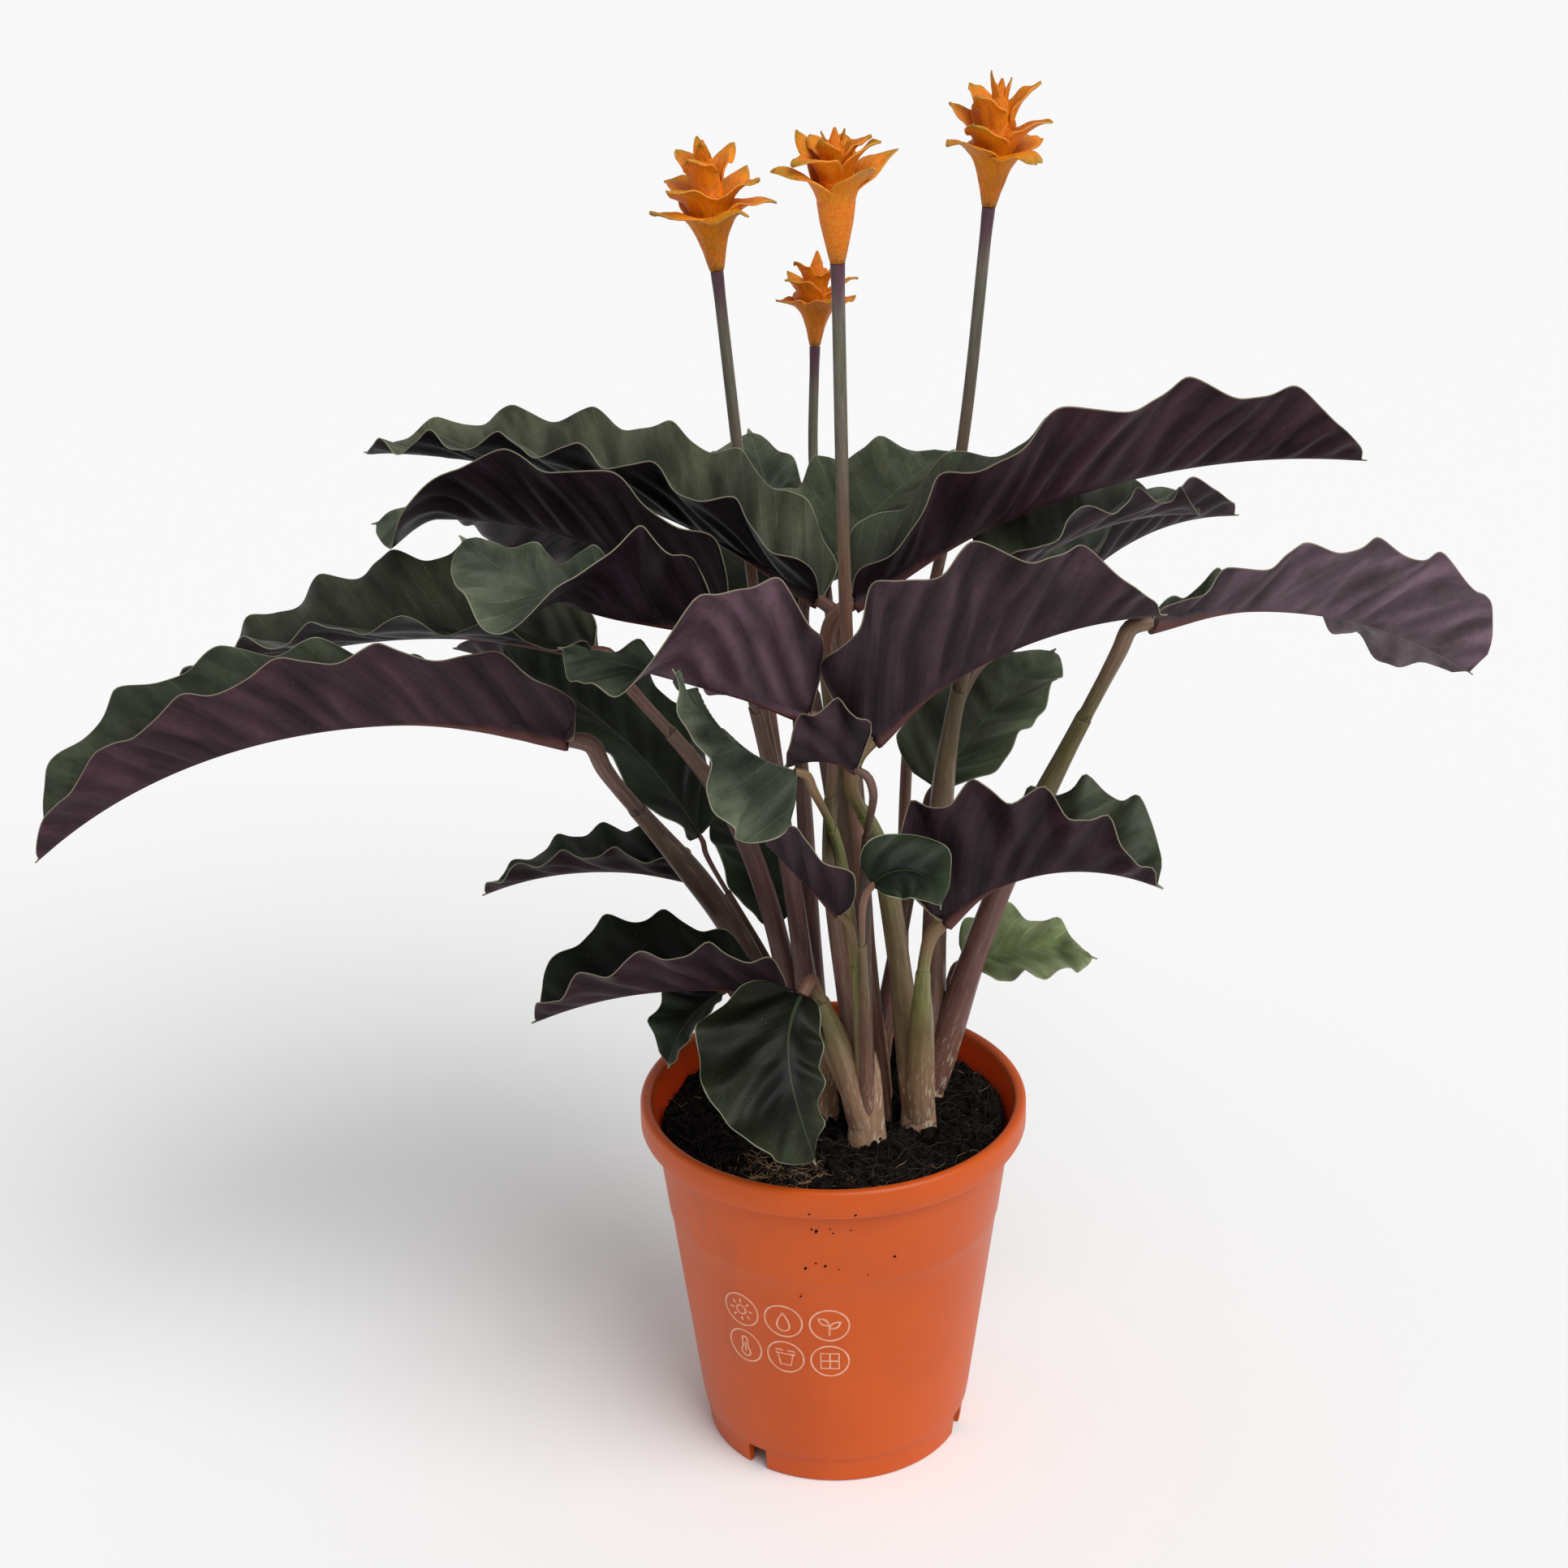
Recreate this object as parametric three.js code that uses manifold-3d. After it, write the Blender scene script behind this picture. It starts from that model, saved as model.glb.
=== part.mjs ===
// Potted eternal flame calathea (Calathea crocata): a plastic nursery pot filled with peat,
// six leafy shoots, twenty-six waved and folded blades, and four orange flower heads on
// tall stalks. Millimetres, +Z up. The origin is the middle of the pot's underside.

import * as THREE from "three";
import Module from "manifold-3d";
import { mergeVertices } from "three/addons/utils/BufferGeometryUtils.js";

// ---- driving dimensions (mm and degrees) ----

const gap = 0.3; // clearance between neighbouring pieces

const pot = {
  height: 137,
  baseRadius: 48.6,
  topRadius: 64.4, // body radius just under the lip
  lipRadius: 70,
  lipHeight: 11,
  wall: 1.6,
  footHeight: 10,
  footInset: 1.2,
  floorThick: 2,
  footWall: 3,
  bossRadius: 10, // flat pad in the middle of the underside
  sides: 32,
  notchWidth: 8,
  notchAngles: [233, 340, 107], // drain notches in the foot, from +X counter-clockwise
};

const soil = {
  level: 127, // mean height of the surface
  rise: 2.4, // height of its unevenness
  rings: 4,
  sides: 30,
};

const stalkFoot = 100; // height of the stems' feet, down in the soil
const plugTop = 133; // the straight foot of each stem ends just above the soil
const plugSides = 10;
const stalkSides = 5;
const stalkSteps = 7;
const scapeSides = 6;

const blade = {
  thick: 0.7,
  ribDepth: 1.1, // how far the midrib stands out below
  baseHalf: 2.2, // half width where the stalk meets the blade
  tipHalf: 1.2,
  narrow: 6, // where a half is narrower than this, it can't fold so steeply
  narrowFold: 40, // the steepest fold at its narrowest, in degrees
  widest: 0.42, // share of the length at which a half is widest
  blunt: 0.6, // how full the outline is towards the tip: lower is fuller
  shear: 0.35, // how far the pleats run forward from midrib to margin, in waves
  stagger: 1.3, // how far the right half's pleats run ahead of the left's, in radians
  scallop: 0.05, // share of the width that the margin swells at each crest
  fullWave: 12, // a half narrower than this has lower waves
  acrossCells: 2, // cells from midrib to margin
};

// Each blade: base point, length, heading (degrees from +X, base and tip), rise (degrees
// above level, base and tip), and for its left and right half: half width, fold above level
// at base and tip, and, if it differs, where along the blade it is widest. waves are height,
// count and phase. turn is the stretch over which the folds change. cells are along the
// blade. stalk is the radius of its leaf stalk, shoot the bundle that it grows from, and via
// a point or two that the stalk passes through where it doesn't rise straight. widest and
// blunt are where both halves are widest, and how full their outline is, if not as usual.
const leaves = {
  leaf_left_top: { shoot: "back", stalk: 3.6, base: [-3, 22, 318], length: 188,
    heading: [150, 158], rise: [25, -6], left: [36, 55, 28], right: [35, 32, 22],
    waves: [3, 6.6, 1], cells: 22 },
  leaf_left_second: { shoot: "backLeft", stalk: 3.4, base: [-36, 29, 314], length: 136,
    heading: [165, 160], rise: [30, -14], left: [34, 66, -15], right: [32, -50, 20],
    turn: [0.7, 0.92], waves: [3, 4, 0], cells: 18 },
  leaf_left_third: { shoot: "left", stalk: 3.6, base: [-81, 12, 304], length: 168,
    heading: [172, 162], rise: [10, -33], left: [32, 30, 28], right: [36, 40, 24],
    waves: [2.8, 6, 2], cells: 22, via: [[-32, 14, 236]] },
  leaf_left_longest: { shoot: "left", stalk: 4.5, base: [-86, -30, 289], length: 196,
    heading: [183, 176], rise: [16, -42], left: [28, 82, 75, 0.32], right: [36, 22, 58, 0.6],
    waves: [3, 6.3, 2.75], cells: 24, via: [[-35, 12, 196]] },
  leaf_left_inner_upper: { shoot: "left", stalk: 3.2, base: [-39, -25, 328], length: 88,
    heading: [204, 150], rise: [4, 34], left: [31, 85, -15], right: [22, 50, 15],
    turn: [0.35, 0.75], waves: [3, 4, 0], cells: 15, via: [[-16, -2, 240]] },
  leaf_left_inner_lower: { shoot: "front", stalk: 3.2, base: [-7, -38, 300], length: 84,
    heading: [196, 160], rise: [24, 8], left: [42, 82, 0], right: [19, -15, 5],
    turn: [0.4, 0.8], widest: 0.38, blunt: 0.85, waves: [3.5, 4, 1], cells: 15,
    via: [[0, -26, 240]] },
  leaf_front_light: { shoot: "front", stalk: 2.4, base: [-11, -50, 285], length: 58,
    heading: [205, 195], rise: [24, 66], left: [32, -55, -10], right: [20, -15, 8],
    waves: [3, 3, 1], cells: 12, via: [[3, -29, 246]] },
  leaf_front_small: { shoot: "front", stalk: 2.2, base: [9, -44, 283], length: 24,
    heading: [160, 195], rise: [25, -20], left: [22, 84, 80, 0.35], right: [4, 60, 60],
    waves: [2, 3, 1], cells: 9, via: [[12, -33, 250]] },
  leaf_back_centre: { shoot: "back", stalk: 3.2, base: [-5, 36, 319], length: 92,
    heading: [60, 50], rise: [24, 8], left: [32, 16, 16], right: [24, 15, 15],
    waves: [3, 4, 0], cells: 14 },
  leaf_back_left: { shoot: "backLeft", stalk: 3, base: [-14, 80, 294], length: 72,
    heading: [105, 110], rise: [60, 35], left: [30, 10, 10], right: [15, 8, 8],
    waves: [3, 4, 0], cells: 12 },
  leaf_right_top: { shoot: "back", stalk: 4.2, base: [8, 8, 322], length: 188,
    heading: [15, 10], rise: [31, -8], left: [38, 22, 10], right: [38, 66, 64, 0.56],
    waves: [4, 4.9, -0.2], cells: 22 },
  leaf_right_inner: { shoot: "frontRight", stalk: 3.9, base: [14, -32, 288], length: 106,
    heading: [14, 2], rise: [42, 2], left: [36, 40, 20], right: [46, 80, 68, 0.34],
    waves: [4, 4, 0], cells: 18, via: [[17, -14, 240]] },
  leaf_right_farthest: { shoot: "right", stalk: 4.3, base: [107, -8, 320], length: 129,
    heading: [20, 14], rise: [6, -36], left: [30, 30, -30], right: [31, 78, 78],
    widest: 0.7, blunt: 0.42, waves: [3, 5.6, -0.3], cells: 20 },
  leaf_back_right_upper: { shoot: "right", stalk: 4.2, base: [59, 23, 325], length: 92,
    heading: [40, 34], rise: [18, -12], left: [30, 30, 20], right: [24, 50, 36],
    waves: [3, 4, 0], cells: 14, via: [[41, 12, 264]] },
  leaf_back_right_lower: { shoot: "right", stalk: 2.8, base: [84, 80, 296], length: 84,
    heading: [40, 22], rise: [34, -8], left: [28, 20, 10], right: [26, 60, 60],
    waves: [3, 3, 0], cells: 12, via: [[41, 24, 262], [52, 38, 286]] },
  leaf_back_right_inner: { shoot: "back", stalk: 2.8, base: [38, 30, 244], length: 72,
    heading: [46, 46], rise: [40, 16], left: [26, 20, 20], right: [20, 10, 10],
    waves: [3, 3, 0], cells: 12 },
  leaf_right_low: { shoot: "frontRight", stalk: 3.8, base: [38, -35, 222], length: 80,
    heading: [350, 338], rise: [50, -14], left: [34, 30, 36, 0.6], right: [40, 84, 62, 0.34],
    waves: [3.5, 5.2, -0.5], cells: 17 },
  leaf_right_lowest: { shoot: "right", stalk: 2.2, base: [49, 25, 176], length: 48,
    heading: [15, 5], rise: [14, -20], left: [21, 22, 10], right: [18, 0, 0],
    waves: [2.5, 3, 0], cells: 11 },
  leaf_left_low_thin: { shoot: "backLeft", stalk: 2, base: [-51, 25, 211], length: 79,
    heading: [172, 166], rise: [10, -28], left: [19, 48, 40], right: [22, 22, 15],
    waves: [1.9, 4.6, 0], cells: 13 },
  leaf_left_low: { shoot: "front", stalk: 2.6, base: [-16, -22, 188], length: 90,
    heading: [180, 176], rise: [12, -26], left: [30, 58, 45], right: [30, 26, 42, 0.58],
    waves: [2.2, 4.6, 0], cells: 15 },
  leaf_left_lowest: { shoot: "left", stalk: 1.6, base: [-40, 4, 175], length: 32,
    heading: [200, 215], rise: [-20, -75], left: [6, 10, 10], right: [15, 20, 20],
    waves: [1.5, 3, 0], cells: 8 },
  leaf_front_over_rim: { shoot: "front", stalk: 3.8, base: [-10, -36, 196], length: 60,
    heading: [236, 330], rise: [-30, -72], left: [10, -10, 0], right: [30, 8, 8],
    waves: [3, 4, 0], cells: 14 },
  leaf_back_left_dark: { shoot: "backLeft", stalk: 1.5, base: [-47, 25, 228], length: 118,
    heading: [160, 150], rise: [60, 0], left: [20, 10, 80], right: [34, 10, 20],
    turn: [0.5, 1], waves: [3, 4, 0], cells: 14 },
  leaf_back_left_small: { shoot: "backLeft", stalk: 1.6, base: [-19, 36, 188], length: 46,
    heading: [135, 140], rise: [62, 30], left: [14, 10, 10], right: [10, 10, 10],
    waves: [2, 2, 0], cells: 9 },
  leaf_front_young_left: { shoot: "front", stalk: 2.2, base: [3, -42, 229], length: 46,
    heading: [170, 150], rise: [45, 38], left: [24, 60, 60], right: [9, 40, 40],
    waves: [2, 2, 0], cells: 9 },
  leaf_front_young_right: { shoot: "front", stalk: 2, base: [14, -54, 246], length: 30,
    heading: [10, -10], rise: [50, -85], left: [13, 56, 40], right: [9, -40, -40],
    waves: [2, 2, 0], cells: 8 },
};

// Each shoot: where it stands in the soil, and the radius of its bundled foot.
const shoots = {
  backLeft: { foot: [-5, 20], radius: 6.5 },
  left: { foot: [-5, -2], radius: 7 },
  front: { foot: [12, -18], radius: 7 },
  frontRight: { foot: [31, -7], radius: 6.5 },
  right: { foot: [35, 15], radius: 6.5 },
  back: { foot: [15, 11], radius: 7 },
};

// Bracts of a head in tiers from the bottom: how many, height and radius of the root,
// length, half width, and lean from upright at root and tip in degrees. bend is high where
// the lean comes late. A tall head has a long lower tier, and a small one fewer bracts.
const openHead = [
  { count: 4, z: 1, r: 2, length: 31, half: 10.5, lean: [16, 150], bend: 3, turn: 0 },
  { count: 4, z: 6, r: 2.8, length: 30, half: 9.5, lean: [14, 130], bend: 3.2, turn: 40 },
  { count: 3, z: 19, r: 4, length: 21, half: 7.5, lean: [6, 100], bend: 2.6, turn: 15 },
];
const tallHead = [
  { count: 4, z: 1, r: 2, length: 38, half: 10, lean: [10, 128], bend: 4, turn: 0 },
  { count: 4, z: 13, r: 2.6, length: 28, half: 8.5, lean: [8, 115], bend: 3.2, turn: 40 },
  { count: 3, z: 22, r: 3, length: 18, half: 6.5, lean: [4, 80], bend: 2.4, turn: 15 },
];
const smallHead = [
  { count: 4, z: 1, r: 2, length: 30, half: 10.5, lean: [16, 140], bend: 3, turn: 0 },
  { count: 3, z: 6, r: 2.8, length: 29, half: 9.5, lean: [12, 125], bend: 3.2, turn: 50 },
  { count: 3, z: 18, r: 4, length: 20, half: 7, lean: [4, 95], bend: 2.6, turn: 15 },
];
const bractStations = [0, 0.45, 0.8, 1]; // shares of a bract's length
const bractWidth = [0.3, 0.7, 0.6, 0.06]; // shares of the half width at those stations
const bractEdge = [0.1, 0.2, -0.1, 0]; // how far the margins stand up there, in half widths
const headCore = [[2.6, 0], [4.4, 7], [6.2, 14], [6.4, 21], [4.4, 29]];
const headTop = 40;
const bractThick = 0.8;

// Each flower stalk: foot in the soil, points it passes through, top where the head sits,
// radius, and its head's size against the largest, turn in degrees and tiers.
const scapes = {
  left: { foot: [-6, 42], via: [[-17, 56, 223], [-27, 66, 308], [-31, 80, 344]], top: [-38, 87, 418],
    radius: 2.2, size: 1.13, turn: 20, tiers: openHead },
  middle: { foot: [19, -3], via: [[9, -1, 249], [6, -3, 318]], top: [4, -8, 443],
    radius: 2.3, size: 1.07, turn: 118, tiers: tallHead },
  right: { foot: [26, 42], via: [[30, 66, 258], [47, 64, 355]], top: [56, 66, 444],
    radius: 2.2, size: 1.07, turn: 122, tiers: openHead },
  back: { foot: [8, 46], via: [[2, 86, 270], [-3, 104, 318], [-5, 114, 339]], top: [-4, 122, 381],
    radius: 1.9, size: 0.86, turn: 200, tiers: smallHead },
};

// ---- materials ----

const finish = (color, roughness) =>
  new THREE.MeshStandardMaterial({ color, roughness, metalness: 0 });
const materials = {
  pot: () => finish(0xd1652f, 0.42),
  soil: () => finish(0x1d1513, 0.95),
  leaf: () => finish(0x3f5240, 0.5),
  stem: () => finish(0x7a6350, 0.55),
  scape: () => finish(0x8a7264, 0.55),
  bract: () => finish(0xe8862a, 0.5),
};

// ---- small helpers ----

const rad = THREE.MathUtils.degToRad;
const mix = THREE.MathUtils.lerp;
const smooth = (x) => THREE.MathUtils.smoothstep(x, 0, 1);
const wasm = await Module();
wasm.setup();

// A closed BufferGeometry from points and triangles.
function meshFrom(points, faces) {
  const geometry = new THREE.BufferGeometry();
  geometry.setAttribute("position", new THREE.Float32BufferAttribute(points.flat(), 3));
  geometry.setIndex(faces.flat());
  return geometry;
}

// A manifold solid from a closed geometry.
function solidFrom(geometry) {
  const bare = geometry.clone();
  bare.deleteAttribute("normal");
  bare.deleteAttribute("uv");
  const merged = mergeVertices(bare, 1e-4);
  return new wasm.Manifold(new wasm.Mesh({
    numProp: 3,
    vertProperties: new Float32Array(merged.attributes.position.array),
    triVerts: new Uint32Array(merged.index.array),
  }));
}

// The BufferGeometry of a manifold solid.
function geometryFrom(solid) {
  const mesh = solid.getMesh();
  const geometry = new THREE.BufferGeometry();
  const positions = new Float32Array(mesh.numProp === 3 ? mesh.vertProperties : []);
  geometry.setAttribute("position", new THREE.BufferAttribute(positions, 3));
  geometry.setIndex(new THREE.BufferAttribute(new Uint32Array(mesh.triVerts), 1));
  return geometry;
}

// A round rod along points, with a radius for each; both ends are flat.
function rodAlong(path, radii, sides) {
  const points = [];
  const faces = [];
  const up = new THREE.Vector3(0, 1, 0);
  path.forEach((p, i) => {
    const before = path[Math.max(i - 1, 0)];
    const after = path[Math.min(i + 1, path.length - 1)];
    const along = after.clone().sub(before).normalize();
    const side = new THREE.Vector3().crossVectors(up, along).normalize();
    const other = new THREE.Vector3().crossVectors(along, side);
    for (let k = 0; k < sides; k++) {
      const angle = (2 * Math.PI * k) / sides;
      const q = p.clone()
        .addScaledVector(side, radii[i] * Math.cos(angle))
        .addScaledVector(other, radii[i] * Math.sin(angle));
      points.push(q.toArray());
    }
  });
  for (let i = 0; i < path.length - 1; i++) {
    for (let k = 0; k < sides; k++) {
      const a = i * sides + k;
      const b = i * sides + ((k + 1) % sides);
      faces.push([a, b, b + sides], [a, b + sides, a + sides]);
    }
  }
  const last = (path.length - 1) * sides;
  for (let k = 1; k < sides - 1; k++) {
    faces.push([0, k + 1, k], [last, last + k, last + k + 1]);
  }
  return meshFrom(points, faces);
}

// A thin sheet between two faces of a grid of points: rows along it, columns across.
// Each cell is split along its shorter diagonal, alike on both faces, so that they never
// cross. At a fold it is thickened
// along the line that halves the fold. The narrow end rows lean as the rows next to them do.
function sheetFrom(grid, thickness, extraBelow) {
  const { clamp } = THREE.MathUtils;
  const rows = grid.length;
  const cols = grid[0].length;
  const step = (i, j, k, l) => grid[k][l].clone().sub(grid[i][j]).normalize();
  const top = [];
  const bottom = [];
  for (let i = 0; i < rows; i++) {
    for (let j = 0; j < cols; j++) {
      const along = step(Math.max(i - 1, 0), j, Math.min(i + 1, rows - 1), j);
      const row = clamp(i, 1, rows - 2);
      const across = new THREE.Vector3();
      if (j > 0) across.add(step(row, j - 1, row, j));
      if (j < cols - 1) across.add(step(row, j, row, j + 1));
      const normal = along.cross(across).normalize();
      top.push(grid[i][j].clone().addScaledVector(normal, thickness / 2).toArray());
      const depth = thickness / 2 + extraBelow(i, j);
      bottom.push(grid[i][j].clone().addScaledVector(normal, -depth).toArray());
    }
  }
  const faces = [];
  const below = rows * cols;
  const id = (i, j) => i * cols + j;
  for (let i = 0; i < rows - 1; i++) {
    for (let j = 0; j < cols - 1; j++) {
      const corners = [[i, j], [i + 1, j], [i + 1, j + 1], [i, j + 1]];
      const [p, q, r, s] = corners.map(([k, l]) => grid[k][l]);
      const turn = p.distanceTo(r) > q.distanceTo(s) ? 1 : 0;
      const [a, b, c, d] = corners.map((_, k) => id(...corners[(k + turn) % 4]));
      faces.push([a, b, c], [a, c, d]);
      faces.push([a + below, c + below, b + below], [a + below, d + below, c + below]);
    }
  }
  const wall = (a, b) => faces.push([a, a + below, b + below], [a, b + below, b]);
  for (let i = 0; i < rows - 1; i++) {
    wall(id(i, 0), id(i + 1, 0));
    wall(id(i + 1, cols - 1), id(i, cols - 1));
  }
  for (let j = 0; j < cols - 1; j++) {
    wall(id(rows - 1, j), id(rows - 1, j + 1));
    wall(id(0, j + 1), id(0, j));
  }
  return meshFrom([...top, ...bottom], faces);
}

// ---- pot and soil ----

const bodyRadius = (z) => mix(pot.baseRadius, pot.topRadius, z / (pot.height - pot.lipHeight));

function makePot() {
  const lipFoot = pot.height - pot.lipHeight;
  const inner = (z) => bodyRadius(z) - pot.wall;
  const foot = bodyRadius(pot.footHeight) - pot.footInset;
  const floor = pot.footHeight;
  const profile = [
    [0, 0], [pot.bossRadius, 0], [pot.bossRadius, floor - pot.floorThick],
    [foot - pot.footWall, floor - pot.floorThick], [foot - pot.footWall - 0.4, 0],
    [foot - 0.8, 0], [foot, floor], [bodyRadius(floor), floor + 1], [bodyRadius(92), 92],
    [bodyRadius(93) + 0.5, 93.5], [bodyRadius(lipFoot) + 0.3, lipFoot],
    [pot.lipRadius - 1, lipFoot], [pot.lipRadius, lipFoot + 1.5],
    [pot.lipRadius - 0.2, pot.height - 2.5], [pot.lipRadius - 1.4, pot.height - 0.5],
    [pot.lipRadius - 2.6, pot.height], [pot.lipRadius - 4, pot.height - 0.9],
    [inner(lipFoot), lipFoot - 2], [inner(floor + 4), floor + 4],
    [inner(floor) - 3, floor], [0, floor],
  ];
  const outline = profile.map(([r, z]) => new THREE.Vector2(r, z));
  const lathe = new THREE.LatheGeometry(outline, pot.sides);
  lathe.rotateX(Math.PI / 2);
  let solid = solidFrom(lathe);
  for (const angle of pot.notchAngles) {
    const notch = new THREE.BoxGeometry(14, pot.notchWidth, 2 * (floor - 1.5));
    notch.translate(foot + 1, 0, 0);
    notch.rotateZ(rad(angle));
    solid = solid.subtract(solidFrom(notch));
  }
  return geometryFrom(solid);
}

// Height of the soil: slow bumps, higher at the back right, lower at the back left.
const soilHeight = (x, y) => soil.level
  + soil.rise * (0.5 * Math.sin(0.21 * x + 0.6) * Math.cos(0.17 * y) + 0.4 * Math.sin(0.37 * x - 0.31 * y))
  + 0.03 * x - 0.02 * y;

// Plain round holes that the stems stand in, each as wide as the foot and the clearance.
function stemHoles() {
  const feet = [
    ...Object.values(shoots).map(({ foot, radius }) => [foot, radius, plugSides]),
    ...Object.values(scapes).map(({ foot, radius }) => [foot, radius, scapeSides]),
  ];
  return feet.map(([[x, y], radius, sides]) => {
    const axis = [stalkFoot - gap, plugTop + 10].map((z) => new THREE.Vector3(x, y, z));
    const wide = radius + gap / Math.cos(Math.PI / sides);
    return solidFrom(rodAlong(axis, [wide, wide], sides));
  });
}

function makeSoil() {
  const reach = (z) => bodyRadius(z) - pot.wall - gap - 0.4;
  const bottom = pot.footHeight + gap + 0.2;
  const points = [[0, 0, soilHeight(0, 0)]];
  for (let ring = 1; ring <= soil.rings; ring++) {
    for (let k = 0; k < soil.sides; k++) {
      const angle = (2 * Math.PI * k) / soil.sides;
      const edge = reach(soil.level) * (ring / soil.rings);
      const [x, y] = [edge * Math.cos(angle), edge * Math.sin(angle)];
      const settle = ring === soil.rings ? 0.8 : 0;
      points.push([x, y, Math.min(soilHeight(x, y), soil.level + 1.5) - settle]);
    }
  }
  for (const [z, inset] of [[bottom + 8, 0], [bottom, 4]]) {
    for (let k = 0; k < soil.sides; k++) {
      const angle = (2 * Math.PI * k) / soil.sides;
      const edge = reach(z) - inset;
      points.push([edge * Math.cos(angle), edge * Math.sin(angle), z]);
    }
  }
  points.push([0, 0, bottom]);
  const faces = [];
  const id = (ring, k) => 1 + (ring - 1) * soil.sides + (k % soil.sides);
  const rings = soil.rings + 2;
  for (let k = 0; k < soil.sides; k++) {
    faces.push([0, id(1, k), id(1, k + 1)]);
    for (let ring = 1; ring < rings; ring++) {
      faces.push([id(ring, k), id(ring + 1, k), id(ring + 1, k + 1)]);
      faces.push([id(ring, k), id(ring + 1, k + 1), id(ring, k + 1)]);
    }
    faces.push([points.length - 1, id(rings, k + 1), id(rings, k)]);
  }
  let solid = solidFrom(meshFrom(points, faces));
  for (const hole of stemHoles()) solid = solid.subtract(hole);
  return geometryFrom(solid);
}

// ---- blades ----

// Evenly spaced points of a smooth curve through the given ones.
const smoothPath = (points, steps) => new THREE.CatmullRomCurve3(points, false, "centripetal")
  .getSpacedPoints(steps);

// Direction of a blade at share t of its length.
function bladeFrame(leaf, t) {
  const heading = rad(mix(...leaf.heading, t));
  const rise = rad(mix(...leaf.rise, t));
  const along = new THREE.Vector3(
    Math.cos(rise) * Math.cos(heading), Math.cos(rise) * Math.sin(heading), Math.sin(rise));
  const left = new THREE.Vector3(-Math.sin(heading), Math.cos(heading), 0);
  return { along, left, up: new THREE.Vector3().crossVectors(along, left) };
}

// Crests are pointed and hollows round.
const pleat = (x) => 1.1 - 2.2 * Math.abs(Math.sin(x / 2)) ** 1.3;

// A point of one half: s runs from the midrib (0) to the margin (1).
function halfPoint(leaf, half, sign, t, s, centre, frame) {
  const [width, foldBase, foldTip, ownWidest] = half;
  const widest = ownWidest ?? leaf.widest ?? blade.widest;
  const blunt = leaf.blunt ?? blade.blunt;
  const [turnStart, turnEnd] = leaf.turn ?? [0, 1];
  const [height, count, phase] = leaf.waves;
  const swell = (t / widest) ** ((blunt * widest) / (1 - widest));
  const taper = ((1 - t) / (1 - widest)) ** blunt;
  const reach = width * swell * taper + blade.baseHalf * (1 - t) + blade.tipHalf * t;
  const fullFold = mix(foldBase, foldTip, smooth((t - turnStart) / (turnEnd - turnStart)));
  const limit = mix(blade.narrowFold, 90, Math.min(1, reach / blade.narrow));
  const fold = rad(THREE.MathUtils.clamp(fullFold, -limit, limit));
  const offset = sign > 0 ? 0 : blade.stagger;
  const wave = pleat(2 * Math.PI * (count * t - blade.shear * s) + phase + offset);
  const out = reach * s * (1 + blade.scallop * wave * s * s);
  const lift = height * Math.min(1, reach / blade.fullWave) * s ** 1.6 * wave;
  return centre.clone()
    .addScaledVector(frame.left, sign * (out * Math.cos(fold) - lift * Math.sin(fold)))
    .addScaledVector(frame.up, out * Math.sin(fold) + lift * Math.cos(fold));
}

// The blade's middle surface, as rows from base to tip, right margin to left margin.
function bladeGrid(leaf) {
  const fine = 4; // the midrib is added up in steps this much finer than the cells
  const centre = new THREE.Vector3(...leaf.base);
  const rows = [];
  for (let i = 0; i <= leaf.cells; i++) {
    const t = i / leaf.cells;
    const frame = bladeFrame(leaf, t);
    const row = [];
    for (let j = -blade.acrossCells; j <= blade.acrossCells; j++) {
      const s = Math.abs(j) / blade.acrossCells;
      const [half, sign] = j < 0 ? [leaf.right, -1] : [leaf.left, 1];
      row.push(halfPoint(leaf, half, sign, t, s, centre, frame));
    }
    rows.push(row);
    for (let k = 0; k < fine; k++) {
      const step = bladeFrame(leaf, t + (k + 0.5) / fine / leaf.cells);
      centre.addScaledVector(step.along, leaf.length / leaf.cells / fine);
    }
  }
  return rows;
}

function makeBlade(leaf) {
  const rib = (i, j) => (j === blade.acrossCells ? blade.ribDepth * (1 - 0.8 * (i / leaf.cells)) : 0);
  return sheetFrom(bladeGrid(leaf), blade.thick, rib);
}

// ---- stems ----

// A leaf stalk rises from its shoot's foot and bends over into the blade's base. Its points
// lie closer together towards the bend.
function stalkPath(leaf, foot) {
  const { along } = bladeFrame(leaf, 0);
  const start = new THREE.Vector3(foot[0], foot[1], plugTop - 4);
  const end = new THREE.Vector3(...leaf.base).addScaledVector(along, -3 * gap);
  const neck = end.clone().addScaledVector(along, -1.3 * leaf.stalk);
  const knee = neck.clone().addScaledVector(along, -leaf.stalk);
  knee.z -= 1.8 * leaf.stalk;
  const halfway = knee.clone().sub(start).multiply(new THREE.Vector3(0.42, 0.42, 0.5)).add(start);
  const via = leaf.via ? leaf.via.map((p) => new THREE.Vector3(...p)) : [halfway];
  const curve = new THREE.CatmullRomCurve3([start, ...via, knee, neck, end], false, "centripetal");
  return Array.from({ length: stalkSteps + 1 }, (_, i) => {
    const left = 1 - i / stalkSteps;
    return curve.getPointAt(1 - left ** 1.5);
  });
}

// Radius of a leaf stalk, point by point: a sheath that ends in a narrow neck.
const stalkRadii = (leaf) => Array.from({ length: stalkSteps + 1 }, (_, i) => {
  const u = i / stalkSteps;
  return leaf.stalk * (1.08 - 0.16 * u) * (1 - 0.42 * smooth((u - 0.66) / 0.14));
});

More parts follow.
